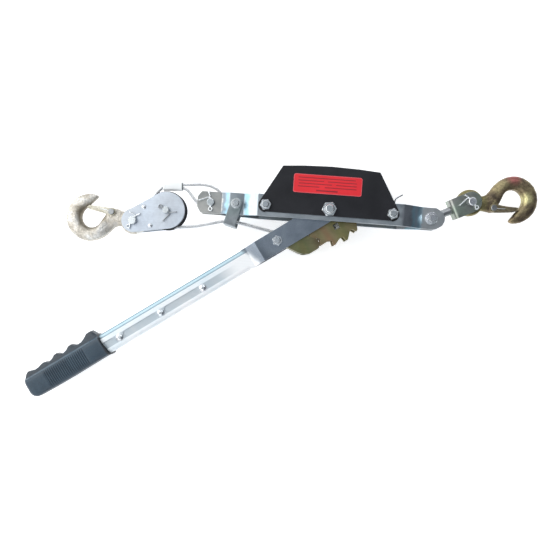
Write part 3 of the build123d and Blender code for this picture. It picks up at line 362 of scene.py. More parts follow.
def rubber(name):
    m, nt, b = new_mat(name)
    v = coords(nt)
    big = noise_tex(nt, v, 24.0, 4.0, 0.6, 0.5)
    c = ramp(nt, big.outputs["Fac"], [(0.3, (0.022, 0.042, 0.064)), (0.7, (0.042, 0.076, 0.108))])
    fine = noise_tex(nt, v, 500.0, 4.0, 0.65)
    c = mix(nt, 0.5, c, ramp(nt, fine.outputs["Fac"], [(0.35, 0.6), (0.6, 1.15)]), "MULTIPLY")
    # painted highlight: the grip's edges painted lighter
    em = edge_mask(nt, 0.0012, 0.02, 0.35)
    c = mix(nt, math_n(nt, "MULTIPLY", em, 0.35), c, (0.14, 0.15, 0.17))
    # brownish wear on the crests of the finger ridges, by their distance from the grip's axis
    tc = N(nt, "ShaderNodeTexCoord")
    rot = N(nt, "ShaderNodeMapping", vector_type="POINT")
    rot.inputs["Rotation"].default_value = (0, 0, math.radians(-215.0))
    nt.links.new(tc.outputs["Object"], rot.inputs["Vector"])
    sx = N(nt, "ShaderNodeSeparateXYZ")
    nt.links.new(rot.outputs["Vector"], sx.inputs[0])
    mr = N(nt, "ShaderNodeMapRange")
    sset(mr, "From Min", -0.0205)
    sset(mr, "From Max", -0.0255)
    nt.links.new(sx.outputs["Y"], mr.inputs["Value"])
    worn = math_n(nt, "MULTIPLY", mr.outputs["Result"], ramp(nt, fine.outputs["Fac"], [(0.42, 0.15), (0.6, 0.8)]))
    c = mix(nt, math_n(nt, "MULTIPLY", worn, 0.6), c, (0.085, 0.062, 0.050))
    # painted shade: the finger ridges, lower than the front face, painted darker
    ridge = map_range(nt, sx.outputs["Y"], -0.0150, -0.0162)
    c = mix(nt, math_n(nt, "MULTIPLY", ridge, 0.55), c, (0.012, 0.016, 0.022))
    # painted shade and highlight: the rib valleys across the broad faces painted darker and their crests lighter, over
    # the ribs of the mesh
    wave = math_n(nt, "SINE", math_n(nt, "ADD", math_n(nt, "MULTIPLY", sx.outputs["X"], 2 * math.pi / 0.0032), -2 * math.pi * 414.0 / 3.2 + math.pi / 2))
    zone = math_n(nt, "MULTIPLY", map_range(nt, sx.outputs["X"], 0.4125, 0.4145), map_range(nt, sx.outputs["X"], 0.4835, 0.4815))
    zone = math_n(nt, "MULTIPLY", zone, math_n(nt, "MULTIPLY", map_range(nt, sx.outputs["Y"], -0.0125, -0.0110), map_range(nt, sx.outputs["Y"], 0.0150, 0.0130)))
    c = mix(nt, math_n(nt, "MULTIPLY", zone, 0.8), c, mix(nt, 1.0, c, ramp(nt, wave, [(0.0, (0.42, 0.42, 0.44)), (0.8, (1.35, 1.35, 1.35))]), "MULTIPLY"))
    # painted shade: near-black round the collar at the grip's mouth
    c = mix(nt, math_n(nt, "MULTIPLY", map_range(nt, sx.outputs["X"], 0.3885, 0.3865), 0.85), c, (0.006, 0.007, 0.009))
    # painted highlight: a lighter blue band along the upper edge of the front face, by the seam
    edge = math_n(nt, "MULTIPLY", map_range(nt, sx.outputs["Y"], -0.0150, -0.0142), map_range(nt, sx.outputs["Y"], -0.0122, -0.0132))
    c = mix(nt, math_n(nt, "MULTIPLY", edge, 0.35), c, (0.12, 0.18, 0.23))
    nt.links.new(c, b.inputs["Base Color"])
    nt.links.new(ramp(nt, big.outputs["Fac"], [(0.3, 0.34), (0.7, 0.50)]), b.inputs["Roughness"])
    sset(b, "Specular IOR Level", 0.45)
    n1 = bump(nt, b, fine.outputs["Fac"], 0.3, 0.0004)
    bump(nt, b, noise_tex(nt, v, 70.0, 3.0).outputs["Fac"], 0.18, 0.0015, n1)
    return m


def rope_mat(name, base, dark):
    m, nt, b = new_mat(name)
    v = coords(nt)
    c = ramp(nt, noise_tex(nt, v, 55.0, 4.0, 0.65).outputs["Fac"], [(0.3, dark), (0.65, base)])
    c = mix(nt, 0.45, c, ramp(nt, noise_tex(nt, v, 1400.0, 2.0, 0.6).outputs["Fac"], [(0.35, 0.55), (0.6, 1.0)]), "MULTIPLY")
    nt.links.new(c, b.inputs["Base Color"])
    sset(b, "Metallic", 0.6)
    nt.links.new(ramp(nt, noise_tex(nt, v, 200.0).outputs["Fac"], [(0.3, 0.34), (0.7, 0.5)]), b.inputs["Roughness"])
    bump(nt, b, noise_tex(nt, v, 2200.0, 2.0).outputs["Fac"], 0.35, 0.0003)
    return m


Z_TINT = [(0.30, (0.70, 0.86, 0.95)), (0.46, (0.97, 0.97, 0.97)), (0.58, (0.86, 0.96, 0.90)), (0.74, (0.97, 0.92, 0.97))]
Y_TINT = [(0.28, (0.95, 0.66, 0.62)), (0.42, (1.0, 0.97, 0.85)), (0.56, (0.80, 0.92, 0.66)), (0.72, (1.0, 0.80, 0.52))]
MAT = {
    "plate": plate_zinc("zinc_side_plate"),
    "guide": zinc("zinc_guide", (0.50, 0.54, 0.57), 0.36, 0.6),
    "handle": handle_zinc("zinc_handle"),
    "block": zinc("zinc_block", (0.70, 0.75, 0.82), 0.42, 0.45, metal=0.75, dark=0.85, tints=[(0.30, (0.84, 0.93, 1.0)), (0.50, (0.97, 0.97, 0.96)), (0.74, (0.88, 0.94, 1.0))]),
    "clevis": zinc("zinc_clevis", (0.50, 0.53, 0.47), 0.32, 0.7),
    "gear": zinc("yellow_zinc_gear", (0.40, 0.34, 0.21), 0.42, 0.85, tints=Y_TINT, dark=0.72, spangle=False),
    "olive": zinc("olive_zinc", (0.27, 0.26, 0.16), 0.40, 0.7, tints=Y_TINT, dark=0.65, spangle=False),
    # the circles listed for this material are painted shade round the fastener heads
    "nut": zinc("zinc_fastener", (0.86, 0.89, 0.92), 0.26, 0.20, spangle=False, edge=0.9, dark=0.85, bump_s=0.06,
                shade_rings=((0.0, 0.0, 0.0060), (0.0920, 0.0, 0.0040), (-0.0920, 0.0, 0.0040), (0.1531, 0.0, 0.0050), (-0.1352, 0.0, 0.0040), (-0.0714, -0.0500, 0.0040))),
    "steel": zinc("dull_steel", (0.42, 0.43, 0.44), 0.36, 0.3, spangle=False),
    "spring": zinc("spring_wire", (0.46, 0.47, 0.49), 0.28, 0.2, spangle=False, edge=0.0),
    "ferrule": zinc("aluminium_ferrule", (0.97, 0.98, 0.98), 0.45, 0.08, metal=0.35, spangle=False, edge=0.2, dark=0.95, bump_s=0.1),
    "bronze": zinc("bronze_bush", (0.55, 0.38, 0.18), 0.4, 0.3, spangle=False, tints=Y_TINT),
    "black": paint_black("black_powder_coat"),
    "sheave": zinc("black_sheave", (0.035, 0.035, 0.04), 0.42, 0.2, metal=0.3, spangle=False, edge=0.6),
    "label": plastic_label("label_red", (0.77, 0.022, 0.032), (0.69, 0.016, 0.026), 0.38),
    "label_edge": plastic_label("label_border", (0.78, 0.13, 0.15), (0.70, 0.10, 0.12), 0.4),
    "label_bar": plastic_label("label_bars", (0.30, 0.012, 0.022), (0.24, 0.010, 0.018), 0.4),
    "hook_r": forged("forged_hook_gold", (0.22, 0.170, 0.105), (0.37, 0.31, 0.17), (0.095, 0.074, 0.056), (0.31, 0.17, 0.14), 0.34,
                     # the first spot, yellow at the inner right of the bowl, is a painted highlight
                     spots=((0.2930, 0.0400, 0.0, 0.0130, (0.88, 0.82, 0.42), 0.85), (0.2720, 0.0690, 0.003, 0.0150, (0.34, 0.10, 0.10), 0.9),
                            (0.2104, 0.0286, 0.0200, 0.0300, (0.24, 0.22, 0.09), 0.7), (0.2660, -0.0020, 0.0, 0.0120, (0.42, 0.22, 0.14), 0.6))),
    "hook_l": forged("forged_hook_pale", (0.66, 0.62, 0.55), (0.93, 0.92, 0.89), (0.34, 0.30, 0.23), (0.70, 0.65, 0.56), 0.40, 1.3, 0.7,
                     # the first spot, a dark ring on the inner side of the bowl, is painted shade
                     spots=((-0.3500, -0.0337, 0.0150, 0.0240, (0.16, 0.13, 0.08), 0.85), (-0.3395, -0.0100, 0.0, 0.0130, (0.20, 0.16, 0.11), 0.7),
                            (-0.3190, -0.0450, 0.0, 0.0160, (0.36, 0.30, 0.22), 0.6))),
    "latch_r": forged("latch_gold", (0.27, 0.22, 0.14), (0.50, 0.44, 0.28), (0.13, 0.10, 0.07), (0.34, 0.22, 0.18), 0.34, 0.5),
    "latch_l": forged("latch_pale", (0.50, 0.47, 0.38), (0.72, 0.70, 0.62), (0.28, 0.25, 0.18), (0.52, 0.46, 0.38), 0.34, 0.5),
    "rubber": rubber("grip_rubber"),
    "rope": rope_mat("wire_rope", (0.93, 0.94, 0.95), (0.70, 0.71, 0.73)),
    "core": rope_mat("wire_rope_core", (0.16, 0.16, 0.17), (0.08, 0.08, 0.09)),
    "wire": zinc("bright_wire", (0.92, 0.94, 0.96), 0.22, 0.1, spangle=False, edge=0.0, dark=0.95, bump_s=0.05),
}


def bevel(o, width=0.0005, seg=2, angle=32.0):
    """Rounded edges with clean shading on a carried-over CAD node or a made piece."""
    w = o.modifiers.new("join", "WELD")
    w.merge_threshold = 2e-6
    d = o.modifiers.new("flats", "DECIMATE")
    d.decimate_type = "DISSOLVE"
    d.angle_limit = math.radians(0.6)
    b = o.modifiers.new("edges", "BEVEL")
    b.width = width
    b.segments = seg
    b.limit_method = "ANGLE"
    b.angle_limit = math.radians(angle)
    b.use_clamp_overlap = True
    b.harden_normals = True
    o.modifiers.new("shade", "WEIGHTED_NORMAL").keep_sharp = True


def dress(names, mat, width=0.0005, seg=2, angle=32.0):
    for n in names.split():
        o = NODES[n]
        o.data.materials.clear()
        o.data.materials.append(MAT[mat])
        if width:
            bevel(o, width, seg, angle)


# ---------------------------------------------------------------- mesh helpers
def obj_from(name, verts, faces, mat, smooth=True):
    me = bpy.data.meshes.new(name)
    me.from_pydata([tuple(v) for v in verts], [], faces)
    me.update()
    bm = bmesh.new()
    bm.from_mesh(me)
    bmesh.ops.recalc_face_normals(bm, faces=bm.faces)
    bm.to_mesh(me)
    bm.free()
    for p in me.polygons:
        p.use_smooth = smooth
    o = bpy.data.objects.new(name, me)
    SC.collection.objects.link(o)
    o.data.materials.append(MAT[mat])
    return o


def sweep_mesh(verts, faces, pts, radius, sides=10, closed=False, caps=True, radii=None):
    """Adds a round tube along pts (Vectors, metres) to verts and faces, with minimal twist."""
    n = len(pts)
    tang = []
    for i in range(n):
        a = pts[i - 1] if (i or closed) else pts[i]
        b = pts[(i + 1) % n] if (i < n - 1 or closed) else pts[i]
        tang.append((b - a).normalized())
    ref = Vector((0, 0, 1)) if abs(tang[0].z) < 0.9 else Vector((1, 0, 0))
    u = tang[0].cross(ref).normalized()
    base = len(verts)
    for i in range(n):
        t = tang[i]
        u = (u - t * u.dot(t)).normalized()
        w = t.cross(u)
        r = radii[i] if radii else radius
        for k in range(sides):
            a = 2 * math.pi * k / sides
            verts.append(pts[i] + u * (r * math.cos(a)) + w * (r * math.sin(a)))
    rows = n if closed else n - 1
    for i in range(rows):
        for k in range(sides):
            a = base + i * sides + k
            b = base + i * sides + (k + 1) % sides
            c = base + ((i + 1) % n) * sides + (k + 1) % sides
            d = base + ((i + 1) % n) * sides + k
            faces.append((a, b, c, d))
    if caps and not closed:
        faces.append(tuple(base + k for k in range(sides)))
        e = base + (n - 1) * sides
        faces.append(tuple(e + k for k in range(sides - 1, -1, -1)))


def bspline(ctrl, per=24):
    """Clamped quadratic spline through the first and last points, pulled towards the others."""
    c = [Vector(p) for p in ctrl]
    mids = [c[0]] + [(c[i] + c[i + 1]) / 2 for i in range(1, len(c) - 2)] + [c[-1]]
    out = []
    for i in range(len(c) - 2):
        a, b, d = mids[i], c[i + 1], mids[i + 1]
        for k in range(per):
            t = k / per
            out.append(a * (1 - t) ** 2 + b * (2 * t * (1 - t)) + d * t * t)
    out.append(c[-1])
    return out


def resample(pts, step):
    L = [0.0]
    for a, b in zip(pts, pts[1:]):
        L.append(L[-1] + (b - a).length)
    n = max(2, int(round(L[-1] / step)))
    out, j = [], 0
    for i in range(n + 1):
        s = L[-1] * i / n
        while j < len(L) - 2 and L[j + 1] < s:
            j += 1
        d = L[j + 1] - L[j]
        t = 0.0 if d == 0 else (s - L[j]) / d
        out.append(pts[j].lerp(pts[j + 1], min(1.0, max(0.0, t))))
    return out


def rope(name, segs, body, replaces=(), mat="rope", start=0.0, caps=True, lay=0.027, R=0.00168, r=0.00070, strands=6, step=0.0013, sides=7):
    """Stranded wire rope along each list of points: strands round a core."""
    verts, faces, core = [], [], []
    for pts in segs:
        line = resample(pts, step)
        n = len(line)
        tang = [(line[min(i + 1, n - 1)] - line[max(i - 1, 0)]).normalized() for i in range(n)]
        u = tang[0].cross(Vector((0, 0, 1))).normalized()
        s = start
        U, W, S = [], [], []
        for i in range(n):
            t = tang[i]
            u = (u - t * u.dot(t)).normalized()
            U.append(u.copy())
            W.append(t.cross(u))
            if i:
                s += (line[i] - line[i - 1]).length
            S.append(s)
        for k in range(strands):
            path = []
            for i in range(n):
                a = 2 * math.pi * (k / strands + S[i] / lay)
                path.append(line[i] + U[i] * (R * math.cos(a)) + W[i] * (R * math.sin(a)))
            sweep_mesh(verts, faces, path, r, sides, caps=caps)
        core0 = len(faces)
        sweep_mesh(verts, faces, line, R * 0.72, 6, caps=caps)
        core.extend(range(core0, len(faces)))
    o = obj_from(name, verts, faces, mat)
    o.data.materials.append(MAT["core"])
    for i in core:
        o.data.polygons[i].material_index = 1
    if body:
        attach(o, body)
    if replaces:
        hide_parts(*replaces)
    return o, S[-1]


# ------------------------------------------------------------------- the hooks
def interp(tab, x):
    if x <= tab[0][0]:
        return tab[0][1]
    for (a, va), (b, vb) in zip(tab, tab[1:]):
        if x <= b:
            t = (x - a) / (b - a)
            return va + (vb - va) * t
    return tab[-1][1]


def hook(name, body, node, angle, ox, oy, mat):
    """Forged eye hook in its own axes (eye at the origin, mouth on -Y), remeshed into one body."""
    bc, br, ic, ir = (66.0, -1.0), 35.5, (63.5, -1.5), 15.5

    def on(c, r, a):
        return (c[0] + r * math.cos(math.radians(a)), c[1] + r * math.sin(math.radians(a)))

    st = [((4.0, -11.5), (3.0, 10.5), 6.6), ((12.0, -12.2), (11.0, 9.0), 6.7), ((19.0, -14.2), (17.5, 8.4), 6.7),
          ((26.0, -16.3), (23.0, 9.0), 6.5), ((32.5, -17.0), (27.5, 11.2), 6.3), ((38.4, -13.8), (32.0, 15.6), 6.3),
          ((42.2, -8.4), (35.8, 20.0), 6.6), ((45.6, -2.4), (39.4, 23.6), 7.6), ((48.6, 3.0), (43.4, 26.6), 8.8)]
    pairs = [(150, 121, 9.3), (134, 112, 9.5), (116, 102, 9.5), (98, 90, 9.5), (80, 76, 9.5), (62, 61, 9.5), (44, 45, 9.5),
             (26, 29, 9.5), (8, 12, 9.4), (-10, -5, 9.2), (-28, -22, 8.9), (-44, -38, 8.5)]
    for a, b, h in pairs:
        st.append((on(ic, ir, a), on(bc, br, b), h))
    st += [((70.4, -16.6), on(bc, br, -53), 8.0), ((66.2, -20.8), on(bc, br, -66), 7.3), ((62.0, -25.0), on(bc, br, -78), 6.5),
           ((58.4, -28.4), on(bc, br, -88), 5.6), ((56.2, -30.8), (62.0, -36.2), 4.6), ((55.6, -32.6), (59.4, -35.6), 2.8)]
    verts, faces = [], []
    m = 28
    rows = len(st)
    for (ix, iy), (oxx, oyy), h in st:
        cx, cy = (ix + oxx) / 2, (iy + oyy) / 2
        ux, uy = (oxx - ix) / 2, (oyy - iy) / 2
        for j in range(m):
            th = 2 * math.pi * j / m
            c, s = math.cos(th), math.sin(th)
            # fuller on the inside of the bowl than on the outside
            p = math.copysign(abs(c) ** (0.80 if c < 0 else 0.92), c)
            q = math.copysign(abs(s) ** 0.70, s)
            hh = h * (1.0 + 0.03 * (-p))
            verts.append(Vector((cx + ux * p, cy + uy * p, hh * q)))
    for i in range(rows - 1):
        for j in range(m):
            faces.append((i * m + j, i * m + (j + 1) % m, (i + 1) * m + (j + 1) % m, (i + 1) * m + j))
    faces.append(tuple(range(m)))
    faces.append(tuple((rows - 1) * m + j for j in range(m - 1, -1, -1)))
    # eye ring with a full, rounded section
    k0 = len(verts)
    A, B = 56, 24
    for i in range(A):
        a = 2 * math.pi * i / A
        for j in range(B):
            th = 2 * math.pi * j / B
            c, s = math.cos(th), math.sin(th)
            r = 13.1 + 6.9 * math.copysign(abs(c) ** 0.75, c)
            z = 7.4 * math.copysign(abs(s) ** 0.75, s)
            verts.append(Vector((r * math.cos(a), r * math.sin(a), z)))
    for i in range(A):
        for j in range(B):
            faces.append((k0 + i * B + j, k0 + ((i + 1) % A) * B + j, k0 + ((i + 1) % A) * B + (j + 1) % B, k0 + i * B + (j + 1) % B))
    # boss round the latch's rivet
    k1 = len(verts)
    for i, (r, z) in enumerate(((5.4, -6.3), (6.2, -5.6), (6.2, 5.6), (5.4, 6.3))):
        for j in range(32):
            a = 2 * math.pi * j / 32
            verts.append(Vector((33 + r * math.cos(a), -11 + r * math.sin(a), z)))
    for i in range(3):
        for j in range(32):
            faces.append((k1 + i * 32 + j, k1 + i * 32 + (j + 1) % 32, k1 + (i + 1) * 32 + (j + 1) % 32, k1 + (i + 1) * 32 + j))
    faces.append(tuple(k1 + j for j in range(31, -1, -1)))
    faces.append(tuple(k1 + 96 + j for j in range(32)))
    ca, sa = math.cos(math.radians(angle)), math.sin(math.radians(angle))
    # remeshed in millimetres, at the hook's own origin, and then put in place in metres
    o = obj_from(name, verts, faces, mat)
    rm = o.modifiers.new("remesh", "REMESH")
    rm.mode = "VOXEL"
    rm.voxel_size = 0.7
    rm.use_smooth_shade = True
    sm = o.modifiers.new("soften", "SMOOTH")
    sm.iterations = 7
    sm.factor = 0.5
    dg = bpy.context.evaluated_depsgraph_get()
    me = bpy.data.meshes.new_from_object(o.evaluated_get(dg))
    o.modifiers.clear()
    o.data = me
    me.transform(Matrix(((ca, -sa, 0, ox), (sa, ca, 0, oy), (0, 0, 1, LIFT), (0, 0, 0, 1))))
    me.transform(Matrix.Scale(0.001, 4))
    # hammer and scale marks of a forging
    norms = [v.normal.copy() for v in me.vertices]
    for v, nv in zip(me.vertices, norms):
        v.co += nv * (noise.noise(v.co * 420.0) * 0.00010 + noise.noise(v.co * 150.0 + Vector((3, 1, 7))) * 0.00018)
    for p in me.polygons:
        p.use_smooth = True
    o.data.materials.clear()
    o.data.materials.append(MAT[mat])
    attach(o, body)
    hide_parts(node)
    return o


HX, HY = -286.5, -35.2
RX, RY = 153.1 + 64.0 * math.cos(math.radians(26.5)), 64.0 * math.sin(math.radians(26.5))
hook("left_forged_hook", "load_hook", "left_hook", 180.0, HX, HY, "hook_l")
hook("right_forged_hook", "anchor_hook", "right_hook", 8.8, RX, RY, "hook_r")


# ------------------------------------------------------------------- the cable
SX, SY, GR = -238.3, -16.4, 23.5
DR = [(0, -39.05), (-32, -39.3), (-62, -38.7), (-100, -32.0), (-134, -25.3), (-146, -25.3), (-154, -25.3), (-175, -31.0),
      (-197, -36.6), (-220, -39.7), (SX, SY - GR)]
ctrl = [P(*p) for p in DR]
main = bspline(ctrl, 40)
cut = next(i for i, p in enumerate(main) if p.x < -0.148)
drum_part, low_part = main[:cut + 1], main[cut:]
bight = [P(SX + GR * math.cos(math.radians(a)), SY + GR * math.sin(math.radians(a))) for a in
         [270 - 95 * i / 60 for i in range(61)]]
FX, FY, FA, FL = -232.8, 20.8, 4.0, 29.6
fdx, fdy = math.cos(math.radians(FA)), math.sin(math.radians(FA))
fl = (FX - fdx * FL / 2, FY - fdy * FL / 2)
fr = (FX + fdx * FL / 2, FY + fdy * FL / 2)
bx, by = SX + GR * math.cos(math.radians(175)), SY + GR * math.sin(math.radians(175))
tx, ty = math.sin(math.radians(175)), -math.cos(math.radians(175))
up_ctrl = [P(bx, by), P(bx + tx * 9, by + ty * 9), P(-259.4, 4.4), P(-253.0, 14.2), P(fl[0] + 1.2, fl[1] + 0.3)]
upper = bspline(up_ctrl, 20)
ea = (fr[0] - fdy * 2.6 - fdx * 2, fr[1] + fdx * 2.6 - fdy * 2)
eb = (fr[0] + fdy * 2.6 - fdx * 2, fr[1] - fdx * 2.6 - fdy * 2)
loop_ctrl = [P(*ea), P(ea[0] + 10 * fdx, ea[1] + 10 * fdy), P(-201.0, 26.0), P(-189, 27.1), P(-174, 25.7), P(-161.7, 18.2), P(-155.3, 5.5),
             P(-158.7, -6.6), P(-169.6, -12.8), P(-182, -10.9), P(-193, -3.2), P(-203.0, 8.2), P(eb[0] + 7 * fdx, eb[1] + 7 * fdy), P(*eb)]
loop = bspline(loop_ctrl, 14)

_, s1 = rope("cable_drum_run_and_eye", [drum_part], None)
bpy.data.objects.remove(_)
o, _s = rope("cable_drum_run_and_eye", [drum_part, loop], "frame", ["cable_fixed_runs"])
low, s2 = rope("cable_lower_strands", [low_part], None, ["cable_lower_run"], start=s1)
bt, s3 = rope("cable_bight_strands", [bight], "cable_carriage", ["cable_bight"], start=s2)
up, s4 = rope("cable_upper_strands", [upper], None, ["cable_upper_run"], start=s3)
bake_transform(low)
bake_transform(up)

# wound cable: two layers of turns between the gears
turns = []
for R0, n, ph in ((19.6, 4, 0.9), (24.4, 4, 0.2), (29.2, 4, 0.5), (33.9, 4, 0.0)):
    pts = []
    lim = 9.9 - 2.45
    for i in range(n * 72 + 1):
        a = math.radians(i * 5.0) + ph
        t = i / (n * 72)
        pts.append(P(R0 * math.cos(a), R0 * math.sin(a), -lim + 2 * lim * t))
    turns.append(pts)
rope("cable_turns", turns, "drum", ["cable_coil"], step=0.0022, sides=6)


# ferrule: swaged oval sleeve with flared, rounded ends and shallow press marks
def ferrule():
    verts, faces = [], []
    n, m = 44, 40
    L = FL / 2
    rows = []
    for i in range(n + 1):
        t = -1 + 2 * i / n
        x = t * L
        e = abs(x) / L
        press = 0.10 * sum(math.exp(-((x - c) / 2.0) ** 2) for c in (-9.0, -3.0, 3.0, 9.0))
        a = 6.4 - press * 0.6
        b = 3.9 - press
        if e > 0.9:
            k = (e - 0.9) / 0.1
            a -= 0.5 * k * k
            b -= 0.5 * k * k
        row = []
        for j in range(m):
            th = 2 * math.pi * j / m
            c, s = math.cos(th), math.sin(th)
            px = a * math.copysign(abs(c) ** 0.55, c)
            pz = b * math.copysign(abs(s) ** 0.6, s)
            row.append(P(FX + fdx * x - fdy * px, FY + fdy * x + fdx * px, pz))
        rows.append(row)
    for r in rows:
        verts.extend(r)
    for i in range(n):
        for j in range(m):
            faces.append((i * m + j, i * m + (j + 1) % m, (i + 1) * m + (j + 1) % m, (i + 1) * m + j))
    faces.append(tuple(range(m)))
    faces.append(tuple(n * m + j for j in range(m - 1, -1, -1)))
    o = obj_from("ferrule_sleeve", verts, faces, "ferrule")
    # painted shade: the end faces and the last rows at the far end take the darker steel, for the end in shade
    o.data.materials.append(MAT["steel"])
    for k in range(1, 3):
        o.data.polygons[len(faces) - k].material_index = 1
    for k in range((n - 2) * m, n * m):
        o.data.polygons[k].material_index = 1
    bevel(o, 0.0005, 3, 40)
    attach(o, "frame")
    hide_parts("cable_ferrule")


ferrule()


# ------------------------------------------------ CAD nodes that are kept
dress("front_side_plate rear_side_plate", "plate", 0.0006, 3)
dress("cable_guide", "guide", 0.0006, 3)
dress("block_front_plate block_rear_plate", "block", 0.0007, 3)
dress("swivel_clevis", "clevis", 0.0007, 3)
dress("handle_front_half handle_rear_half", "handle", 0.0004, 2)
dress("gear_cover", "black", 0.0004, 2)
dress("front_ratchet_gear rear_ratchet_gear", "gear", 0.0005, 2)
dress("stop_pawl drive_pawl", "olive", 0.0006, 2)
dress("axle_nut frame_lock_nuts drive_pawl_nut handle_nuts swivel_nut", "nut", 0.0004, 2)
dress("axle_bolt cover_bolts end_bolt guide_bolt drive_pawl_bolt frame_washers axle_washers block_rivets handle_screws", "nut", 0.0003, 2)
dress("anchor_pin sheave_pin left_hook_pin right_hook_pin", "nut", 0.0003, 2)
dress("left_latch_rivet right_latch_rivet", "steel", 0.0005, 2)
dress("axle_sleeve frame_spacers drive_pawl_sleeve drum_hub drum_rivets swivel_eye_bolt", "steel", 0.0004, 2)
dress("sheave", "sheave", 0.0003, 2)
dress("sheave_bush", "bronze", 0.0003, 2)
dress("label_plate", "label_edge", 0.0002, 2)
dress("left_latch", "latch_l", 0.0005, 2)
dress("right_latch", "latch_r", 0.0005, 2)


# -------------------------------------------------------------------- the grip
def grip():
    crest = [(385.8, 17.4), (388.0, 18.2), (390.0, 22.2), (393.0, 27.6), (397.0, 28.0), (402.0, 27.6), (408.0, 23.6), (414.0, 20.9),
             (421.0, 20.3), (426.0, 22.6), (430.0, 25.9), (434.0, 25.6), (439.0, 22.2), (446.0, 20.2), (451.0, 22.4), (455.0, 25.6),
             (459.0, 25.2), (464.0, 21.8), (471.0, 20.0), (474.5, 22.2), (478.0, 23.7), (482.0, 23.2), (488.0, 21.3), (494.0, 20.8),
             (499.0, 22.0), (504.5, 23.8), (508.0, 22.0), (511.5, 17.6), (514.5, 12.6), (516.5, 7.5)]
    low = [(385.8, 17.6), (391.0, 17.2), (404.0, 17.3), (450.0, 17.9), (480.0, 17.7), (505.0, 17.2), (508.5, 16.4), (512.5, 13.6), (516.5, 7.5)]
    front = [(385.8, 16.0), (404.0, 16.0), (505.0, 15.9), (511.0, 14.6), (514.5, 12.0), (516.5, 7.5)]
    verts, faces = [], []
    m = 128
    stations = []
    s = 385.9
    while s < 516.2:
        stations.append(s)
        s += 0.4 if 412.0 < s < 483.0 else 0.8
    stations.append(516.45)
    ca, sa = math.cos(math.radians(215.0)), math.sin(math.radians(215.0))
    for s in stations:
        cr, lo, fh = interp(crest, s), interp(low, s), interp(front, s)
        collar = 0.9 * max(0.0, 1 - abs(s - 387.2) / 1.6)
        ribz = min(1.0, max(0.0, (s - 413.0) / 3.0)) * min(1.0, max(0.0, (482.0 - s) / 3.0))
        rib = ribz * (0.5 + 0.5 * math.cos(2 * math.pi * (s - 414.0) / 3.2))
        for j in range(m):
            th = 2 * math.pi * j / m
            c, q = math.cos(th), math.sin(th)
            top = min(15.9, cr) if c < 0 else lo
            e = 0.42
            n = 1.1 * 0 + top * math.copysign(abs(c) ** e, c)
            z = fh * math.copysign(abs(q) ** e, q)
            if c < 0 and cr > 15.9:
                # finger ridge, narrower than the grip
                w = math.exp(-(abs(z) / 9.4) ** 9)
                n -= (cr - 15.9) * w * min(1.0, (-c) * 1.6)
            k = 1.0 + collar / 17.0
            n *= k
            z *= min(k, 1.0 if fh < 15.9 else 1.02)
            # fine ribs across the two broad faces
            face = max(0.0, (abs(z) - 13.2) / 2.8) * max(0.0, 1 - (abs(n - 1.0) / 13.5) ** 6)
            z -= math.copysign(0.75 * (1 - rib) * ribz * min(1.0, face), z)
            # moulding seam along the upper edge of the front face
            seam = math.exp(-((n + 13.2) / 0.8) ** 2) if z > 8 else 0.0
            z += 0.45 * seam
            # the mouth is cut aslant: longer on the palm side
            sl = s - 3.6 * max(0.0, n / 17.0) * max(0.0, 1 - (s - 385.9) / 14.0)
            verts.append(P(sl * ca - n * sa, sl * sa + n * ca, z))
    r = len(stations)
    for i in range(r - 1):
        for j in range(m):
            faces.append((i * m + j, i * m + (j + 1) % m, (i + 1) * m + (j + 1) % m, (i + 1) * m + j))
    # rounded closing caps
    e0 = len(verts)
    verts.append(P(385.9 * ca, 385.9 * sa, 0))
    e1 = len(verts)
    verts.append(P(516.5 * ca, 516.5 * sa, 0))
    for j in range(m):
        faces.append((e0, (j + 1) % m, j))
        faces.append((e1, (r - 1) * m + j, (r - 1) * m + (j + 1) % m))
    o = obj_from("moulded_grip", verts, faces, "rubber")
    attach(o, "handle")
    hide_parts("handle_grip")


grip()


# --------------------------------------------------------------- label artwork
def box_piece(name, quads, z0, z1, mat, r=0.0):
    verts, faces = [], []
    for (x0, x1, y0, y1) in quads:
        k = len(verts)
        rr = min(r, (y1 - y0) / 2 - 0.01, (x1 - x0) / 2 - 0.01)
        ring = []
        for cx, cy, a0 in ((x1 - rr, y1 - rr, 0), (x0 + rr, y1 - rr, 90), (x0 + rr, y0 + rr, 180), (x1 - rr, y0 + rr, 270)):
            for i in range(7):
                a = math.radians(a0 + 15 * i)
                ring.append((cx + rr * math.cos(a), cy + rr * math.sin(a)))
        n = len(ring)
        for z in (z0, z1):
            for x, y in ring:
                verts.append(P(x, y, z))
        for i in range(n):
            faces.append((k + i, k + (i + 1) % n, k + n + (i + 1) % n, k + n + i))
        faces.append(tuple(k + i for i in range(n - 1, -1, -1)))
        faces.append(tuple(k + n + i for i in range(n)))
    o = obj_from(name, verts, faces, mat, smooth=False)
    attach(o, "frame")
    return o


LX, LY, LZ = -4.3, 35.2, 26.9
box_piece("label_face", [(LX - 48.9, LX + 48.9, LY - 12.75, LY + 12.75)], LZ - 0.05, LZ + 0.05, "label", 2.6)
bars = []
for i, (a, b) in enumerate((((-43, 40), (0, 0)), ((-43, -6), (0, 42)), ((-42, 6), (12, 42)), ((-43, -12), (-4, 42)))):
    y = LY + 8.6 - 4.3 * i
    for x0, x1 in ((a[0], a[1]), (b[0], b[1])):
        if x1 - x0 > 1:
            bars.append((LX + x0, LX + x1, y - 0.55, y + 0.55))
bars.append((LX - 16, LX + 15, LY - 10.2, LY - 8.3))
box_piece("label_bars", bars, LZ, LZ + 0.09, "label_bar", 0.3)


# ---------------------------------------------------- cotter pins and springs
def wire_piece(name, paths, radius, mat, body, node, sides=12):
    verts, faces = [], []
    for p in paths:
        sweep_mesh(verts, faces, p, radius, sides)
    o = obj_from(name, verts, faces, mat)
    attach(o, body)
    if node:
        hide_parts(*([node] if isinstance(node, str) else node))
    return o


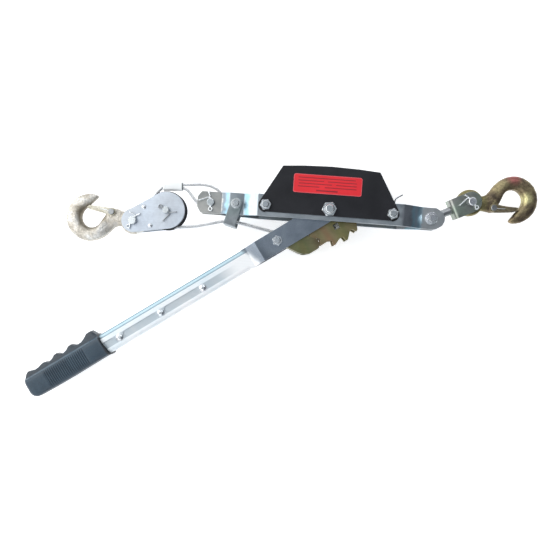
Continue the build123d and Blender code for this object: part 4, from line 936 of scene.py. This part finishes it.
def split_pin(x, y, z, ang, r, leg1, leg2):
    """Two half wires side by side, looped at one end and spread at the other."""
    d = (math.cos(math.radians(ang)), math.sin(math.radians(ang)))
    n = (-d[1], d[0])
    out = []

    def at(u, v, w=0.0):
        return P(x + d[0] * u + n[0] * v, y + d[1] * u + n[1] * v, z + w)

    for sgn, leg in ((1, leg1), (-1, leg2)):
        lu = leg[0] * d[0] + leg[1] * d[1]
        lv = leg[0] * n[0] + leg[1] * n[1]
        back = -(r + 1.4)
        ctrl = [at(back - 5.4, 0), at(back - 5.2, sgn * 2.4), at(back - 2.6, sgn * 2.6), at(back - 0.8, sgn * 0.7), at(back + 1.5, sgn * 0.5),
                at(r * 0.5, sgn * 0.5), at(r + 1.0, sgn * 0.5), at(r + 1.9 + 0.12 * lu, lv * 0.18, 0.1), at(lu * 0.6 + (r + 1.6) * 0.4, lv * 0.62, 0.3), at(lu, lv, 0.4)]
        out.append(bspline(ctrl, 8))
    return out


def mmm(v):
    return v / 1000.0


ca1 = split_pin(-173.7, 0, 12.5, 93.4, 5.5, (-3.9, 15.8), (-17.6, 1.5))
wire_piece("anchor_split_pin", ca1, 0.00090, "wire", "frame", "anchor_cotter")
cb = split_pin(SX, SY, 13.2, -27.0, 5.0, (-3.3, -17.1), (16.2, -1.8))
wire_piece("sheave_split_pin", cb, 0.00080, "spring", "block", "block_cotters")
ch = split_pin(HX, HY, 13.2, 60.0, 6.0, (-5.3, 12.4), (11.3, 10.7))
wire_piece("hook_split_pin", ch, 0.00090, "wire", "block", "block_cotters")
cr = split_pin(RX, RY, 14.7, 132.0, 6.0, (-12.0, 9.0), (-18.5, -7.0))
wire_piece("right_hook_split_pin", cr, 0.00090, "wire", "clevis", "right_hook_cotter")


def helix(cx, cy, z0, z1, R, turns, a0=0.0):
    n = int(turns * 36)
    return [P(cx + R * math.cos(a0 + 2 * math.pi * turns * i / n), cy + R * math.sin(a0 + 2 * math.pi * turns * i / n), z0 + (z1 - z0) * i / n)
            for i in range(n + 1)]


# stop pawl spring: coil round its bolt, with the tail that shows past the cover
a_end = math.atan2(0.2, 1.0)
sp = helix(92.0, 0, 14.9, 11.4, 7.6, 2.92, a_end + 2.2)
last = sp[-1]
tail = bspline([last, P(99.0, 8.0, 12.2), P(96.8, 17.0, 13.0), P(97.0, 23.6, 13.2), P(101.5, 27.6, 13.2), P(108.0, 31.2, 13.2)], 10)
wire_piece("stop_spring_wire", [sp[:-1] + tail], 0.00092, "spring", "stop_pawl_lever", "stop_pawl_spring")


def hpt(s, n, z):
    a, b = math.cos(math.radians(215.0)), math.sin(math.radians(215.0))
    return P(s * a - n * b, s * b + n * a, z)


hs = []
for i in range(109):
    a = math.radians(-25 - 10.0 * i)
    hs.append(hpt(87.2 + 7.5 * math.cos(a), 7.5 * math.sin(a), -11.2 - 3.6 * i / 108))
dst = bspline([hs[-1], hpt(97.0, -4.0, -14.2), hpt(101.0, -6.5, -13.6), hpt(109.2, -9.0, -13.0)], 10)
wire_piece("drive_spring_wire", [hs[:-1] + dst], 0.00085, "spring", "handle", "drive_pawl_spring")


def lhook(ang, ox, oy, x, y, z):
    a, b = math.cos(math.radians(ang)), math.sin(math.radians(ang))
    return P(ox + x * a - y * b, oy + x * b + y * a, z)


for nm, body, node, ang, ox, oy in (("left_latch_coil", "load_hook", "left_latch_spring", 180.0, HX, HY),
                                    ("right_latch_coil", "anchor_hook", "right_latch_spring", 8.8, RX, RY)):
    pts = []
    for i in range(73):
        a = math.radians(20 + 10.0 * i)
        pts.append(lhook(ang, ox, oy, 33 + 3.55 * math.cos(a), -11 + 3.55 * math.sin(a), 8.62 + 0.62 * i / 72))
    tl = bspline([pts[-1], lhook(ang, ox, oy, 37.5, -12.6, 9.1), lhook(ang, ox, oy, 43.0, -13.3, 8.9), lhook(ang, ox, oy, 50.0, -13.8, 8.9)], 8)
    wire_piece(nm, [pts[:-1] + tl], 0.00046, "nut", body, node)

# -------------------------------------------------- camera, floor and lights
cam = bpy.data.cameras.new("camera")
co = bpy.data.objects.new("camera", cam)
SC.collection.objects.link(co)
co.location = (-0.0632, -0.107, 0.839)
co.rotation_euler = (0, 0, math.radians(4.2))
cam.angle = 2 * math.atan(0.406 / 0.780)
cam.clip_start = 0.01
cam.clip_end = 50
SC.camera = co

bm = bmesh.new()
bmesh.ops.create_grid(bm, x_segments=8, y_segments=8, size=6.0)
fme = bpy.data.meshes.new("floor")
bm.to_mesh(fme)
bm.free()
fo = bpy.data.objects.new("floor", fme)
fo.location = (0, 0, -0.0002)
SC.collection.objects.link(fo)
fm, fnt, fb = new_mat("pale_floor")
sset(fb, "Base Color", (0.96, 0.96, 0.96, 1))
sset(fb, "Roughness", 0.9)
sset(fb, "Emission Color", (1, 1, 1, 1))
sset(fb, "Emission Strength", 0.55)
fme.materials.append(fm)


def area(name, loc, target, size, power, color=(1, 1, 1)):
    l = bpy.data.lights.new(name, "AREA")
    l.shape = "RECTANGLE"
    l.size, l.size_y = size
    l.energy = power
    l.color = color
    o = bpy.data.objects.new(name, l)
    o.location = loc
    d = Vector(target) - Vector(loc)
    o.rotation_euler = d.to_track_quat("-Z", "Y").to_euler()
    SC.collection.objects.link(o)
    return o


area("key", (-1.25, 0.25, 1.10), (-0.1, -0.1, 0), (1.7, 1.4), 13, (1.0, 0.99, 0.97))
area("fill", (0.45, 1.05, 1.25), (0.0, 0.0, 0), (1.1, 0.7), 5, (0.94, 0.97, 1.0))
area("low", (-0.30, -1.20, 1.00), (-0.1, -0.1, 0), (1.2, 0.6), 3.5, (0.97, 0.98, 1.0))

w = bpy.data.worlds.new("studio")
SC.world = w
w.use_nodes = True
wnt = w.node_tree
bg = wnt.nodes["Background"]
tc = N(wnt, "ShaderNodeTexCoord")
sep = N(wnt, "ShaderNodeSeparateXYZ")
wnt.links.new(tc.outputs["Generated"], sep.inputs[0])
side = math_n(wnt, "MULTIPLY", sep.outputs["X"], -0.60)
up = math_n(wnt, "MULTIPLY", math_n(wnt, "SUBTRACT", 1.0, sep.outputs["Z"]), 0.50)
val = math_n(wnt, "ADD", math_n(wnt, "ADD", side, up), 0.20, clamp=True)
col = ramp(wnt, val, [(0.0, (0.16, 0.17, 0.19)), (0.20, (0.27, 0.30, 0.33)), (0.40, (0.50, 0.53, 0.56)), (0.70, (0.92, 0.95, 0.98)), (1.0, (1.0, 1.0, 1.0))])
wnt.links.new(col, bg.inputs["Color"])
sset(bg, "Strength", 1.15)

SC.view_settings.view_transform = "Standard"
SC.view_settings.look = "None"
SC.view_settings.exposure = 0.0

bpy.context.view_layer.update()
